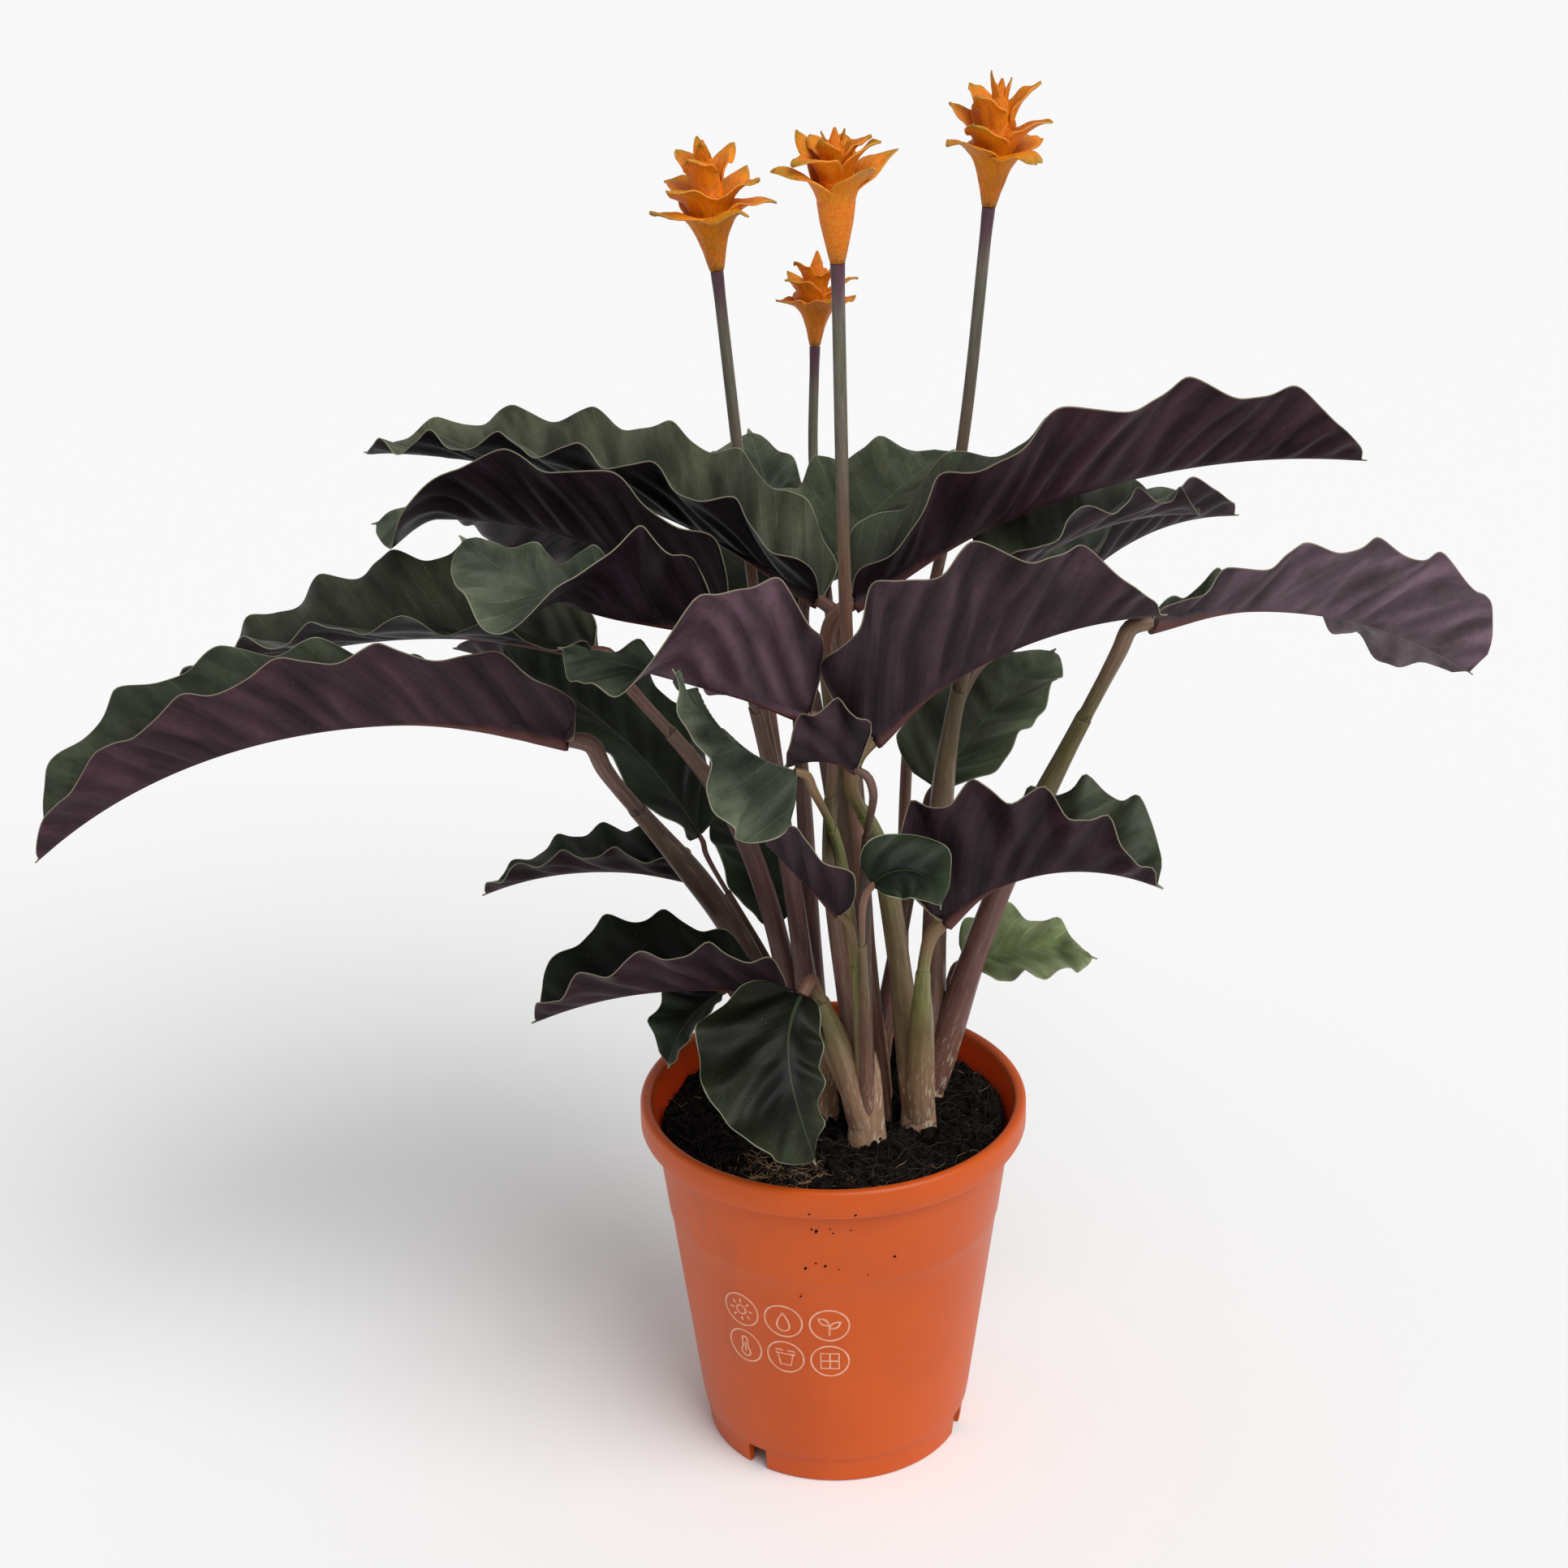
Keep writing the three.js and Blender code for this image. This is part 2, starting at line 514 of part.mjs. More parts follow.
function makeShoot(name) {
  const { foot, radius } = shoots[name];
  const [x, y] = foot;
  const sheath = [stalkFoot, soil.level, plugTop + 12].map((z) => new THREE.Vector3(x, y, z));
  let solid = solidFrom(rodAlong(sheath, [radius, radius, radius * 0.5], plugSides));
  for (const leaf of Object.values(leaves).filter((one) => one.shoot === name)) {
    const stalk = rodAlong(stalkPath(leaf, foot), stalkRadii(leaf), stalkSides);
    solid = solid.add(solidFrom(stalk));
  }
  return geometryFrom(solid);
}

// ---- flowers ----

// The stalk stands upright in the soil and follows a smooth curve above it.
function scapePath({ foot, via, top }) {
  const [x, y] = foot;
  const points = [[x, y, plugTop], ...via, top].map((p) => new THREE.Vector3(...p));
  return [new THREE.Vector3(x, y, stalkFoot), ...smoothPath(points, stalkSteps)];
}

function makeScape(scape) {
  const path = scapePath(scape);
  return rodAlong(path, path.map(() => scape.radius), scapeSides);
}

// One bract: its middle line leans out from the axis more and more, and its two sides
// wrap round the axis, so that it is cupped below and curls back at the tip.
function makeBract({ z, r, length, half, lean, bend }, turn) {
  const fine = 50;
  const line = [new THREE.Vector2(r, z)];
  for (let k = 0; k < fine; k++) {
    const tilt = rad(mix(lean[0], lean[1], ((k + 0.5) / fine) ** bend));
    const step = new THREE.Vector2(Math.sin(tilt), Math.cos(tilt)).multiplyScalar(length / fine);
    line.push(line[k].clone().add(step));
  }
  const rows = bractStations.map((v, i) => {
    const [radius, height] = line[Math.round(v * fine)].toArray();
    const reach = half * bractWidth[i];
    return [-1, 0, 1].map((s) => {
      const angle = rad(turn) - (s * reach) / (radius + 2.5);
      const lift = bractEdge[i] * reach * Math.abs(s);
      return new THREE.Vector3(radius * Math.cos(angle), radius * Math.sin(angle), height + lift);
    });
  });
  return sheetFrom(rows, bractThick, () => 0);
}

// The head stands in line with the end of its stalk.
function makeHead(scape) {
  const profile = [[0, 0], ...headCore, [0, headTop]].map(([r, z]) => new THREE.Vector2(r, z));
  const core = new THREE.LatheGeometry(profile, 6);
  core.rotateX(Math.PI / 2);
  let solid = solidFrom(core);
  for (const tier of scape.tiers) {
    for (let k = 0; k < tier.count; k++) {
      const angle = scape.turn + tier.turn + (360 * k) / tier.count;
      solid = solid.add(solidFrom(makeBract(tier, angle)));
    }
  }
  const [before, top] = scapePath(scape).slice(-2);
  const along = top.clone().sub(before).normalize();
  const geometry = geometryFrom(solid);
  geometry.scale(scape.size, scape.size, scape.size);
  geometry.applyQuaternion(new THREE.Quaternion().setFromUnitVectors(new THREE.Vector3(0, 0, 1), along));
  geometry.translate(...top.addScaledVector(along, gap).toArray());
  return geometry;
}

// ---- the plant in its pot ----

const plant = new THREE.Group();

function place(name, geometry, material) {
  const mesh = new THREE.Mesh(geometry, material);
  mesh.name = name;
  plant.add(mesh);
}

place("pot", makePot(), materials.pot());
place("soil", makeSoil(), materials.soil());
for (const name of Object.keys(shoots)) place(`shoot_${name}`, makeShoot(name), materials.stem());
for (const [name, leaf] of Object.entries(leaves)) place(name, makeBlade(leaf), materials.leaf());
for (const [name, scape] of Object.entries(scapes)) {
  place(`flower_stalk_${name}`, makeScape(scape), materials.scape());
  place(`flower_head_${name}`, makeHead(scape), materials.bract());
}

export default plant;
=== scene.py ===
import bpy
import numpy as np
from mathutils import Matrix


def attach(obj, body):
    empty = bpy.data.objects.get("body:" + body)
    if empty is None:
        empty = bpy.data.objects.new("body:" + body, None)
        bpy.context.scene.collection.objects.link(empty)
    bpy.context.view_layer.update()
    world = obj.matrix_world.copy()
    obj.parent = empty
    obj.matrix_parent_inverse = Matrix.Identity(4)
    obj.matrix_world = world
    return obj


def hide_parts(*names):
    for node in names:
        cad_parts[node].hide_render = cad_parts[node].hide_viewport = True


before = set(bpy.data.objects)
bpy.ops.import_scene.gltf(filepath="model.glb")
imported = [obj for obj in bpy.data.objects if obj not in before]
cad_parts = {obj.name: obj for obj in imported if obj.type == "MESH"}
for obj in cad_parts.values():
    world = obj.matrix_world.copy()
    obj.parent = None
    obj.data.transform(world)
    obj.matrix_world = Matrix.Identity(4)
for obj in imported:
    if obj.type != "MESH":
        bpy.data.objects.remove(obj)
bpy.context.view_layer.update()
mm = 0.001
tubeGrain = 4      # mm, the radius at which every stalk's streaks are laid round it


def colour(red, green, blue):
    # screen values 0..255 to scene values
    part = np.array([red, green, blue]) / 255
    return np.where(part < 0.04045, part / 12.92, ((part + 0.055) / 1.055) ** 2.4)


def mix(a, b, share):
    return a + (b - a) * share


def ease(x):
    # 0 below 0, 1 above 1, and 3x^2 - 2x^3 between
    x = np.clip(x, 0, 1)
    return x * x * (3 - 2 * x)


def unit(vectors):
    return vectors / np.maximum(np.linalg.norm(vectors, axis=-1, keepdims=True), 1e-9)


def softNoise(points, size, seed):
    # sum of nine plane waves with random directions; size is the usual wavelength
    draw = np.random.default_rng(seed)
    points = np.asarray(points, float)
    waves = unit(draw.normal(size=(9, points.shape[-1]))) * draw.uniform(0.6, 1.5, (9, 1))
    phases = draw.uniform(0, 2 * np.pi, 9)
    return np.sin(points @ waves.T * (2 * np.pi / size) + phases).sum(-1) / 4


def walkedAlong(line):
    # the length walked along a line, at each of its points
    return np.concatenate([[0], np.cumsum(np.linalg.norm(np.diff(line, axis=0), axis=1))])


def smoothLine(points, count, samples=40):
    # centripetal Catmull-Rom: each stretch is a cubic whose speed follows the square root
    # of the distance between its ends; returned at equal steps of length
    points = np.asarray(points, float)
    padded = np.vstack([2 * points[0] - points[1], points, 2 * points[-1] - points[-2]])
    u = np.linspace(0, 1, samples, endpoint=False)[:, None]
    pieces = []
    for a, b, c, d in zip(padded, padded[1:], padded[2:], padded[3:]):
        t0, t1, t2 = [max(np.linalg.norm(q - p) ** 0.5, 1e-4) for p, q in ((a, b), (b, c), (c, d))]
        start = t1 * ((b - a) / t0 - (c - a) / (t0 + t1) + (c - b) / t1)
        end = t1 * ((c - b) / t1 - (d - b) / (t1 + t2) + (d - c) / t2)
        cubic = (2 * b - 2 * c + start + end) * u ** 3 + (3 * c - 3 * b - 2 * start - end) * u ** 2
        pieces.append(cubic + start * u + b)
    line = np.vstack(pieces + [points[-1:]])
    length = walkedAlong(line)
    wanted = np.linspace(0, length[-1], count)
    return np.stack([np.interp(wanted, length, line[:, k]) for k in range(3)], 1)


def opaque(tone):
    # a row of red, green, blue and an alpha of 1 for each colour
    tone = tone.reshape(-1, 3)
    return np.concatenate([tone, np.ones((len(tone), 1))], 1)


def buildMesh(name, points, faceSets, material, marks=None, crease=None):
    # points in mm; faceSets are whole arrays of triangles or quads; marks are point attributes
    mesh = bpy.data.meshes.new(name)
    corners = np.concatenate([f.ravel() for f in faceSets]).astype(np.int32)
    sizes = np.concatenate([np.full(len(f), f.shape[1]) for f in faceSets])
    starts = np.concatenate([[0], np.cumsum(sizes)[:-1]]).astype(np.int32)
    mesh.vertices.add(len(points))
    mesh.vertices.foreach_set("co", (points * mm).astype(np.float32).ravel())
    mesh.loops.add(len(corners))
    mesh.loops.foreach_set("vertex_index", corners)
    mesh.polygons.add(len(sizes))
    mesh.polygons.foreach_set("loop_start", starts)
    mesh.update(calc_edges=True)
    kinds = {1: ("FLOAT", "value"), 3: ("FLOAT_VECTOR", "vector"), 4: ("FLOAT_COLOR", "color")}
    for key, values in (marks or {}).items():
        width = 1 if values.ndim == 1 else values.shape[1]
        kind, field = kinds[width]
        layer = mesh.attributes.new(key, kind, "POINT")
        layer.data.foreach_set(field, values.astype(np.float32).ravel())
    mesh.validate()
    mesh.shade_smooth()
    if crease is not None:
        mesh.set_sharp_from_angle(angle=np.radians(crease))
    mesh.materials.append(material)
    piece = bpy.data.objects.new(name, mesh)
    bpy.context.scene.collection.objects.link(piece)
    return piece


def place(piece, slotName, *nodes):
    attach(piece, "root")
    if nodes:
        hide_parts(*nodes)
    return piece


def gridFaces(rows, cols, closed=False):
    # quads of a grid of points, row by row; closed joins the last column to the first
    steps = cols if closed else cols - 1
    i, j = [k.ravel() for k in np.meshgrid(np.arange(rows - 1), np.arange(steps), indexing="ij")]
    here, beside = i * cols + j, i * cols + (j + 1) % cols
    return np.stack([here, here + cols, beside + cols, beside], 1)


def ringFaces(count, sides, inward=False):
    # faces of count closed rings, with a fan at each end round one of two last points
    k, following = np.arange(sides), (np.arange(sides) + 1) % sides
    if inward:
        k, following = following, k
    middle = np.full(sides, count * sides)
    last = (count - 1) * sides
    start = np.stack([middle, following, k], 1)
    end = np.stack([middle + 1, last + k, last + following], 1)
    wall = gridFaces(count, sides, closed=True)
    return [wall if inward else wall[:, ::-1], start, end]


def joinParts(parts):
    # several (points, faceSets, marks) as one
    points, faceSets, marks, offset = [], [], {}, 0
    for partPoints, partFaces, partMarks in parts:
        points.append(partPoints)
        faceSets += [f + offset for f in partFaces]
        for key, values in partMarks.items():
            marks.setdefault(key, []).append(values)
        offset += len(partPoints)
    return np.vstack(points), faceSets, {key: np.concatenate(v) for key, v in marks.items()}


def sheet(grid, thick, marks):
    # a thin closed sheet: each grid point is moved half the thickness both ways along the
    # normal, which is the direction along crossed with the sum of the unit steps across
    rows, cols = grid.shape[:2]
    along = unit(np.gradient(grid, axis=0))
    steps = unit(np.diff(grid, axis=1))
    across = np.zeros_like(grid)
    across[:, 1:] += steps
    across[:, :-1] += steps
    normal = unit(np.cross(along, across))
    half = np.broadcast_to(np.asarray(thick) / 2, grid.shape[:2])[..., None]
    above, below = grid + normal * half, grid - normal * half
    points = np.vstack([above.reshape(-1, 3), below.reshape(-1, 3)])
    count = rows * cols
    top = gridFaces(rows, cols)
    at = np.arange(count).reshape(rows, cols)
    ring = np.concatenate([at[:, 0], at[-1, 1:], at[-2::-1, -1], at[0, -2:0:-1]])
    following = np.roll(ring, -1)
    wall = np.stack([ring, ring + count, following + count, following], 1)
    doubled = {key: np.concatenate([values, values]) for key, values in marks.items()}
    doubled["under"] = np.repeat([0.0, 1.0], count)
    return points, [top, top[:, ::-1] + count, wall], doubled


def tube(line, radii, sides, profile=None):
    # a ring of points round each point of the line, turned as little as it can be from ring
    # to ring; profile scales the radius by angle. Both ends are closed by a last middle point
    line = np.asarray(line, float)
    tangent = unit(np.gradient(line, axis=0))
    side = np.zeros_like(line)
    side[0] = unit(np.cross(tangent[0], [0.3, -1.0, 0.2]))
    for k in range(1, len(line)):
        side[k] = unit(side[k - 1] - tangent[k] * (side[k - 1] @ tangent[k]))
    other = np.cross(tangent, side)
    angle = np.linspace(0, 2 * np.pi, sides, endpoint=False)
    cosine, sine = np.cos(angle), np.sin(angle)
    shape = np.ones((len(line), sides)) if profile is None else profile(angle)
    reach = np.broadcast_to(np.asarray(radii, float), (len(line),))[:, None] * shape
    ring = side[:, None] * cosine[None, :, None] + other[:, None] * sine[None, :, None]
    body = (line[:, None] + ring * reach[..., None]).reshape(-1, 3)
    points = np.vstack([body, line[:1], line[-1:]])
    # the finishes lay their streaks on this unrolled place: round the tube, and along it
    walked = walkedAlong(line)
    spread = (cosine * tubeGrain, sine * tubeGrain, walked[:, None])
    spot = np.stack([np.broadcast_to(part, shape.shape) for part in spread], -1).reshape(-1, 3)
    spot = np.vstack([spot, [[0, 0, 0], [0, 0, walked[-1]]]])
    return points, ringFaces(len(line), sides), {"spot": spot}


class Finish:
    # one material, with short names for the few node kinds that the finishes use
    def __init__(self, name, roughness, specular=0.5):
        self.material = bpy.data.materials.new(name)
        self.material.use_nodes = True
        self.tree = self.material.node_tree
        self.shader = self.tree.nodes["Principled BSDF"]
        self.shader.inputs["Roughness"].default_value = roughness
        self.shader.inputs["Specular IOR Level"].default_value = specular

    def add(self, kind, **settings):
        node = self.tree.nodes.new(kind)
        for key, value in settings.items():
            setattr(node, key, value)
        return node

    def link(self, source, target):
        if hasattr(source, "is_output"):
            self.tree.links.new(source, target)
        else:
            target.default_value = source

    def mark(self, name):
        return self.add("ShaderNodeAttribute", attribute_name=name).outputs

    def split(self, vector):
        node = self.add("ShaderNodeSeparateXYZ")
        self.link(vector, node.inputs[0])
        return node.outputs

    def math(self, operation, a, b=0.0):
        node = self.add("ShaderNodeMath", operation=operation)
        self.link(a, node.inputs[0])
        self.link(b, node.inputs[1])
        return node.outputs[0]

    def times(self, a, b):
        return self.math("MULTIPLY", a, b)

    def plus(self, a, b):
        return self.math("ADD", a, b)

    def fade(self, value, low, high, start=0.0, end=1.0):
        node = self.add("ShaderNodeMapRange", interpolation_type="SMOOTHSTEP")
        self.link(value, node.inputs["Value"])
        ends = {"From Min": low, "From Max": high, "To Min": start, "To Max": end}
        for key, number in ends.items():
            node.inputs[key].default_value = number
        return node.outputs["Result"]

    def blend(self, share, a, b, kind="MIX"):
        node = self.add("ShaderNodeMix", data_type="RGBA", blend_type=kind)
        self.link(share, node.inputs["Factor"])
        for value, socket in ((a, node.inputs["A"]), (b, node.inputs["B"])):
            self.link(value if hasattr(value, "is_output") else (*value, 1.0), socket)
        return node.outputs["Result"]

    def shade(self, base, noise, low, high, share, tint):
        # base times tint, by up to this share, where the noise rises from low to high
        return self.blend(self.fade(noise, low, high, 0, share), base, tint, "MULTIPLY")

    def noise(self, scale, detail=3.0, vector=None, stretch=(1, 1, 1)):
        node = self.add("ShaderNodeTexNoise")
        node.inputs["Scale"].default_value = scale
        node.inputs["Detail"].default_value = detail
        if vector is None:
            vector = self.add("ShaderNodeTexCoord").outputs["Object"]
        if stretch != (1, 1, 1):
            mapping = self.add("ShaderNodeMapping")
            mapping.inputs["Scale"].default_value = stretch
            self.link(vector, mapping.inputs["Vector"])
            vector = mapping.outputs["Vector"]
        self.link(vector, node.inputs["Vector"])
        return node.outputs["Fac"]

    def bump(self, height, distance, strength=1.0):
        node = self.add("ShaderNodeBump")
        node.inputs["Distance"].default_value = distance
        node.inputs["Strength"].default_value = strength
        self.link(height, node.inputs["Height"])
        return node.outputs["Normal"]

    def done(self, base, roughness=None, normal=None):
        for value, key in ((base, "Base Color"), (roughness, "Roughness"), (normal, "Normal")):
            if value is not None:
                self.link(value, self.shader.inputs[key])
        return self.material


leafFinish = {
    "veinSpacing": 3.2,     # mm between side veins
    "veinWidth": 0.45,
    "veinWander": 2.6,      # mm that the veins stray
    "veinTop": (2.1, 2.2, 1.8),         # the top veins brighten the tone by this
    "veinUnder": colour(104, 76, 84),
    "fineSpacing": 0.8,     # the fine ribbing between them
    "margin": 0.38,         # the pale line along the margin
    "marginTop": colour(158, 164, 136),
    "marginUnder": colour(146, 130, 110),
    "ribTop": colour(118, 134, 92),
    "ribUnder": colour(98, 58, 52),
    "dust": colour(170, 168, 156),
    "relief": 0.14 * mm,
}


def leafMaterial():
    # veins and ribs follow the blade's own place: along it, out from the midrib, in from the edge
    f = leafFinish
    n = Finish("leafBlade", 0.5, 0.15)
    place = n.mark("spot")["Vector"]
    vein, out, edge = n.split(place)
    tone = n.mark("tone")["Color"]
    under = n.mark("under")["Fac"]
    above = n.fade(under, 0, 1, 1, 0)
    veinPlace = n.plus(vein, n.times(n.noise(70, 2), f["veinWander"]))
    everyVein = n.math("PINGPONG", veinPlace, f["veinSpacing"] / 2)
    otherVein = n.math("PINGPONG", veinPlace, f["veinSpacing"])
    sideVein = n.fade(everyVein, 0, f["veinWidth"], 1, 0)
    mainVein = n.fade(otherVein, 0, f["veinWidth"] * 0.8, 1, 0)
    fine = n.math("PINGPONG", veinPlace, f["fineSpacing"] / 2)
    patch = n.noise(1.0, 3, place, (0.1, 0.03, 0.0))      # painted shade: soft dark patches along the folds
    mottle = n.noise(42, 4)
    fleck = n.noise(420, 3)
    base = n.shade(tone, patch, 0.44, 0.62, 0.75, (0.42, 0.46, 0.42))
    base = n.shade(base, mottle, 0.36, 0.64, 0.5, (0.6, 0.64, 0.6))
    base = n.shade(base, fleck, 0.4, 0.7, 0.35, (0.6, 0.63, 0.6))
    broken = n.fade(mottle, 0.4, 0.6, 0.1, 0.5)
    topVein = n.times(n.times(mainVein, broken), above)
    lowVein = n.times(sideVein, n.fade(under, 0, 1, 0, 0.06))
    base = n.blend(topVein, base, f["veinTop"], "MULTIPLY")
    base = n.blend(lowVein, base, f["veinUnder"])
    fromRib = n.math("ABSOLUTE", out)
    topRib = n.times(n.fade(fromRib, 0.1, 0.5, 0.2, 0), above)
    lowRib = n.times(n.fade(fromRib, 0.5, 1.05, 0.7, 0), under)
    base = n.blend(n.plus(topRib, lowRib), base, n.blend(under, f["ribTop"], f["ribUnder"]))
    rim = n.fade(edge, f["margin"] * 0.5, f["margin"], 0.65, 0)
    base = n.blend(rim, base, n.blend(under, f["marginTop"], f["marginUnder"]))
    dust = n.times(n.fade(n.noise(1300, 2), 0.735, 0.77, 0, 0.5), n.fade(under, 0, 1, 1, 0.5))
    dust = n.times(dust, n.fade(mottle, 0.45, 0.55))
    base = n.blend(dust, base, f["dust"])
    height = n.plus(n.times(sideVein, 0.3), n.times(fine, 0.25))
    height = n.plus(height, n.times(fleck, 0.6))
    return n.done(base, n.fade(mottle, 0.3, 0.7, 0.42, 0.58), n.bump(height, f["relief"], 0.8))


def stemMaterial(name, scuff):
    # streaks along the stalk; low marks the stretch near the soil, which is scuffed and dirty
    n = Finish(name, 0.45, 0.35)
    spot = n.mark("spot")["Vector"]
    tone = n.mark("tone")["Color"]
    low = n.mark("low")["Fac"]
    streak = n.noise(1.1, 4, spot, (1, 1, 0.05))
    blotch = n.noise(0.2, 3, spot, (1, 1, 0.4))
    base = n.shade(tone, streak, 0.38, 0.62, 0.45, (0.6, 0.54, 0.5))
    base = n.shade(base, blotch, 0.45, 0.66, 0.5, (0.66, 0.6, 0.56))
    pale = n.fade(n.noise(0.8, 5, spot, (1, 1, 0.1)), 0.56, 0.66, 0, 0.2)
    base = n.blend(pale, base, colour(168, 144, 112))
    scratch = n.fade(n.noise(1.2, 6, spot, (1, 1, 0.16)), 0.57, 0.63, 0, scuff)
    base = n.blend(n.times(scratch, low), base, colour(206, 192, 172))
    speck = n.fade(n.noise(1.9, 3, spot), 0.66, 0.7, 0, 0.9)
    base = n.blend(n.times(speck, low), base, colour(34, 24, 19))
    return n.done(base, n.fade(streak, 0.3, 0.7, 0.38, 0.55), n.bump(streak, 0.25 * mm, 0.6))


def bractMaterial():
    n = Finish("bractOrange", 0.5, 0.3)
    tone = n.mark("tone")["Color"]
    spot = n.mark("spot")["Vector"]
    lines = n.noise(1.0, 3, spot, (1.9, 0.12, 1))
    blotch = n.noise(0.3, 3, spot, (1, 0.8, 1))
    base = n.shade(tone, lines, 0.4, 0.62, 0.6, (0.78, 0.52, 0.3))
    base = n.blend(n.fade(blotch, 0.42, 0.66, 0, 0.4), base, colour(214, 132, 40))
    rim = n.fade(n.split(spot)[2], 0.1, 0.4, 0.3, 0)
    base = n.blend(rim, base, colour(240, 168, 84))
    return n.done(base, None, n.bump(lines, 0.7 * mm, 0.9))


def potMaterial():
    n = Finish("potPlastic", 0.4, 0.32)
    cloud = n.noise(18, 3)
    grain = n.noise(700, 2)
    base = n.blend(n.fade(cloud, 0.35, 0.65), colour(190, 76, 10), colour(199, 82, 14))
    paintedInnerGlow = colour(236, 74, 22)      # painted glow: the inner wall is coloured redder for light shining through the thin plastic
    base = n.blend(n.mark("paintedGlowInside")["Fac"], base, paintedInnerGlow)
    smear = n.fade(n.noise(40, 5, None, (1, 1, 0.35)), 0.60, 0.74, 0, 0.35)
    base = n.blend(smear, base, colour(168, 76, 38))
    return n.done(base, n.fade(cloud, 0.3, 0.7, 0.36, 0.46), n.bump(grain, 0.12 * mm, 0.35))


def printMaterial():
    n = Finish("potPrint", 0.55)
    worn = n.fade(n.noise(260, 4), 0.38, 0.6, 0, 0.55)
    return n.done(n.blend(worn, colour(226, 172, 146), colour(212, 126, 84)))


def soilMaterial():
    n = Finish("peat", 1.0, 0.1)
    grain = n.noise(420, 6)
    base = n.blend(n.fade(grain, 0.35, 0.7), colour(8, 6, 6), colour(32, 25, 21))
    base = n.blend(n.fade(n.noise(60, 3), 0.5, 0.7, 0, 0.5), base, colour(15, 11, 9))
    return n.done(base, None, n.bump(grain, 1.2 * mm, 0.9))


def fibreMaterial():
    n = Finish("peatFibre", 0.8)
    tone = n.mark("tone")["Color"]
    return n.done(n.shade(tone, n.noise(800, 3), 0.4, 0.6, 0.5, (0.5, 0.45, 0.4)))


leafBlade = leafMaterial()
stalkSkin = stemMaterial("leafStalk", 0.75)
scapeSkin = stemMaterial("flowerStalk", 0.15)
bractSkin = bractMaterial()
potSkin = potMaterial()
printSkin = printMaterial()
peatSkin = soilMaterial()
fibreSkin = fibreMaterial()
print("materials ready")


pot = {
    "height": 137, "baseRadius": 48.6, "topRadius": 64.4, "wall": 1.6,
    "lipRadius": 70, "lipHeight": 11, "lipRound": 2.1, "lipSteps": 12,
    "footHeight": 10, "footInset": 1.2, "footWall": 3, "floorThick": 2, "bossRadius": 10,
    "notchWidth": 8, "notchDepth": 8.5, "notchLength": 14, "notchAngles": (233, 340, 107),
    "notchRound": 0.06,      # as a share of the cutter's size
    "bandHeight": 93, "sides": 192, "crease": 38,
}


def bodyRadius(z):
    # the wall's outside, which widens evenly up to the lip
    share = np.asarray(z) / (pot["height"] - pot["lipHeight"])
    return mix(pot["baseRadius"], pot["topRadius"], share)


def potOutline():
    # half a section: out under the floor, up the wall, over the lip and down the inside to the
    # middle of the floor. Steps of less than 1 mm round its corners
    p = pot
    floor, band, lipFoot = p["footHeight"], p["bandHeight"], p["height"] - p["lipHeight"]
    foot = bodyRadius(floor) - p["footInset"]
    under, footInside = floor - p["floorThick"], foot - p["footWall"]
    boss, lip = p["bossRadius"], p["lipRadius"]
    inner = lambda z: bodyRadius(z) - p["wall"]
    turn = np.radians(np.linspace(10, 170, p["lipSteps"]))
    lipArc = np.stack([lip - p["lipRound"] + p["lipRound"] * np.cos(turn),
                       p["height"] - p["lipRound"] + p["lipRound"] * np.sin(turn)], 1)
    return np.array([
        [0, 0], [boss - 0.3, 0], [boss, 0.3], [boss, under],
        [footInside, under], [footInside - 0.4, 0.4], [footInside, 0],
        [foot - 1.2, 0], [foot - 0.8, 0.4], [foot - 0.3, 5], [foot, floor - 0.3],
        [foot + 0.15, floor], [bodyRadius(floor) - 0.2, floor + 0.6],
        [bodyRadius(floor), floor + 1.2],
        *[[bodyRadius(z), z] for z in np.linspace(16, band - 0.8, 9)],
        [bodyRadius(band) + 0.15, band - 0.2], [bodyRadius(band) + 0.5, band + 0.5],
        *[[bodyRadius(z) + 0.4, z] for z in np.linspace(band + 3, lipFoot - 2.4, 5)],
        [bodyRadius(lipFoot) + 0.4, lipFoot - 0.7], [bodyRadius(lipFoot) + 0.9, lipFoot - 0.1],
        [lip - 1.5, lipFoot], [lip - 0.5, lipFoot + 0.4],
        [lip, lipFoot + 1.5], [lip + 0.05, lipFoot + 5],
        *lipArc,
        [lip - 4.6, p["height"] - 3.2], [lip - 5.2, lipFoot + 3], [inner(lipFoot), lipFoot - 3],
        *[[inner(z), z] for z in (110, 90, 50, floor + 5)],
        [inner(floor) - 1.5, floor + 1], [inner(floor) - 3, floor], [0, floor],
    ], float)


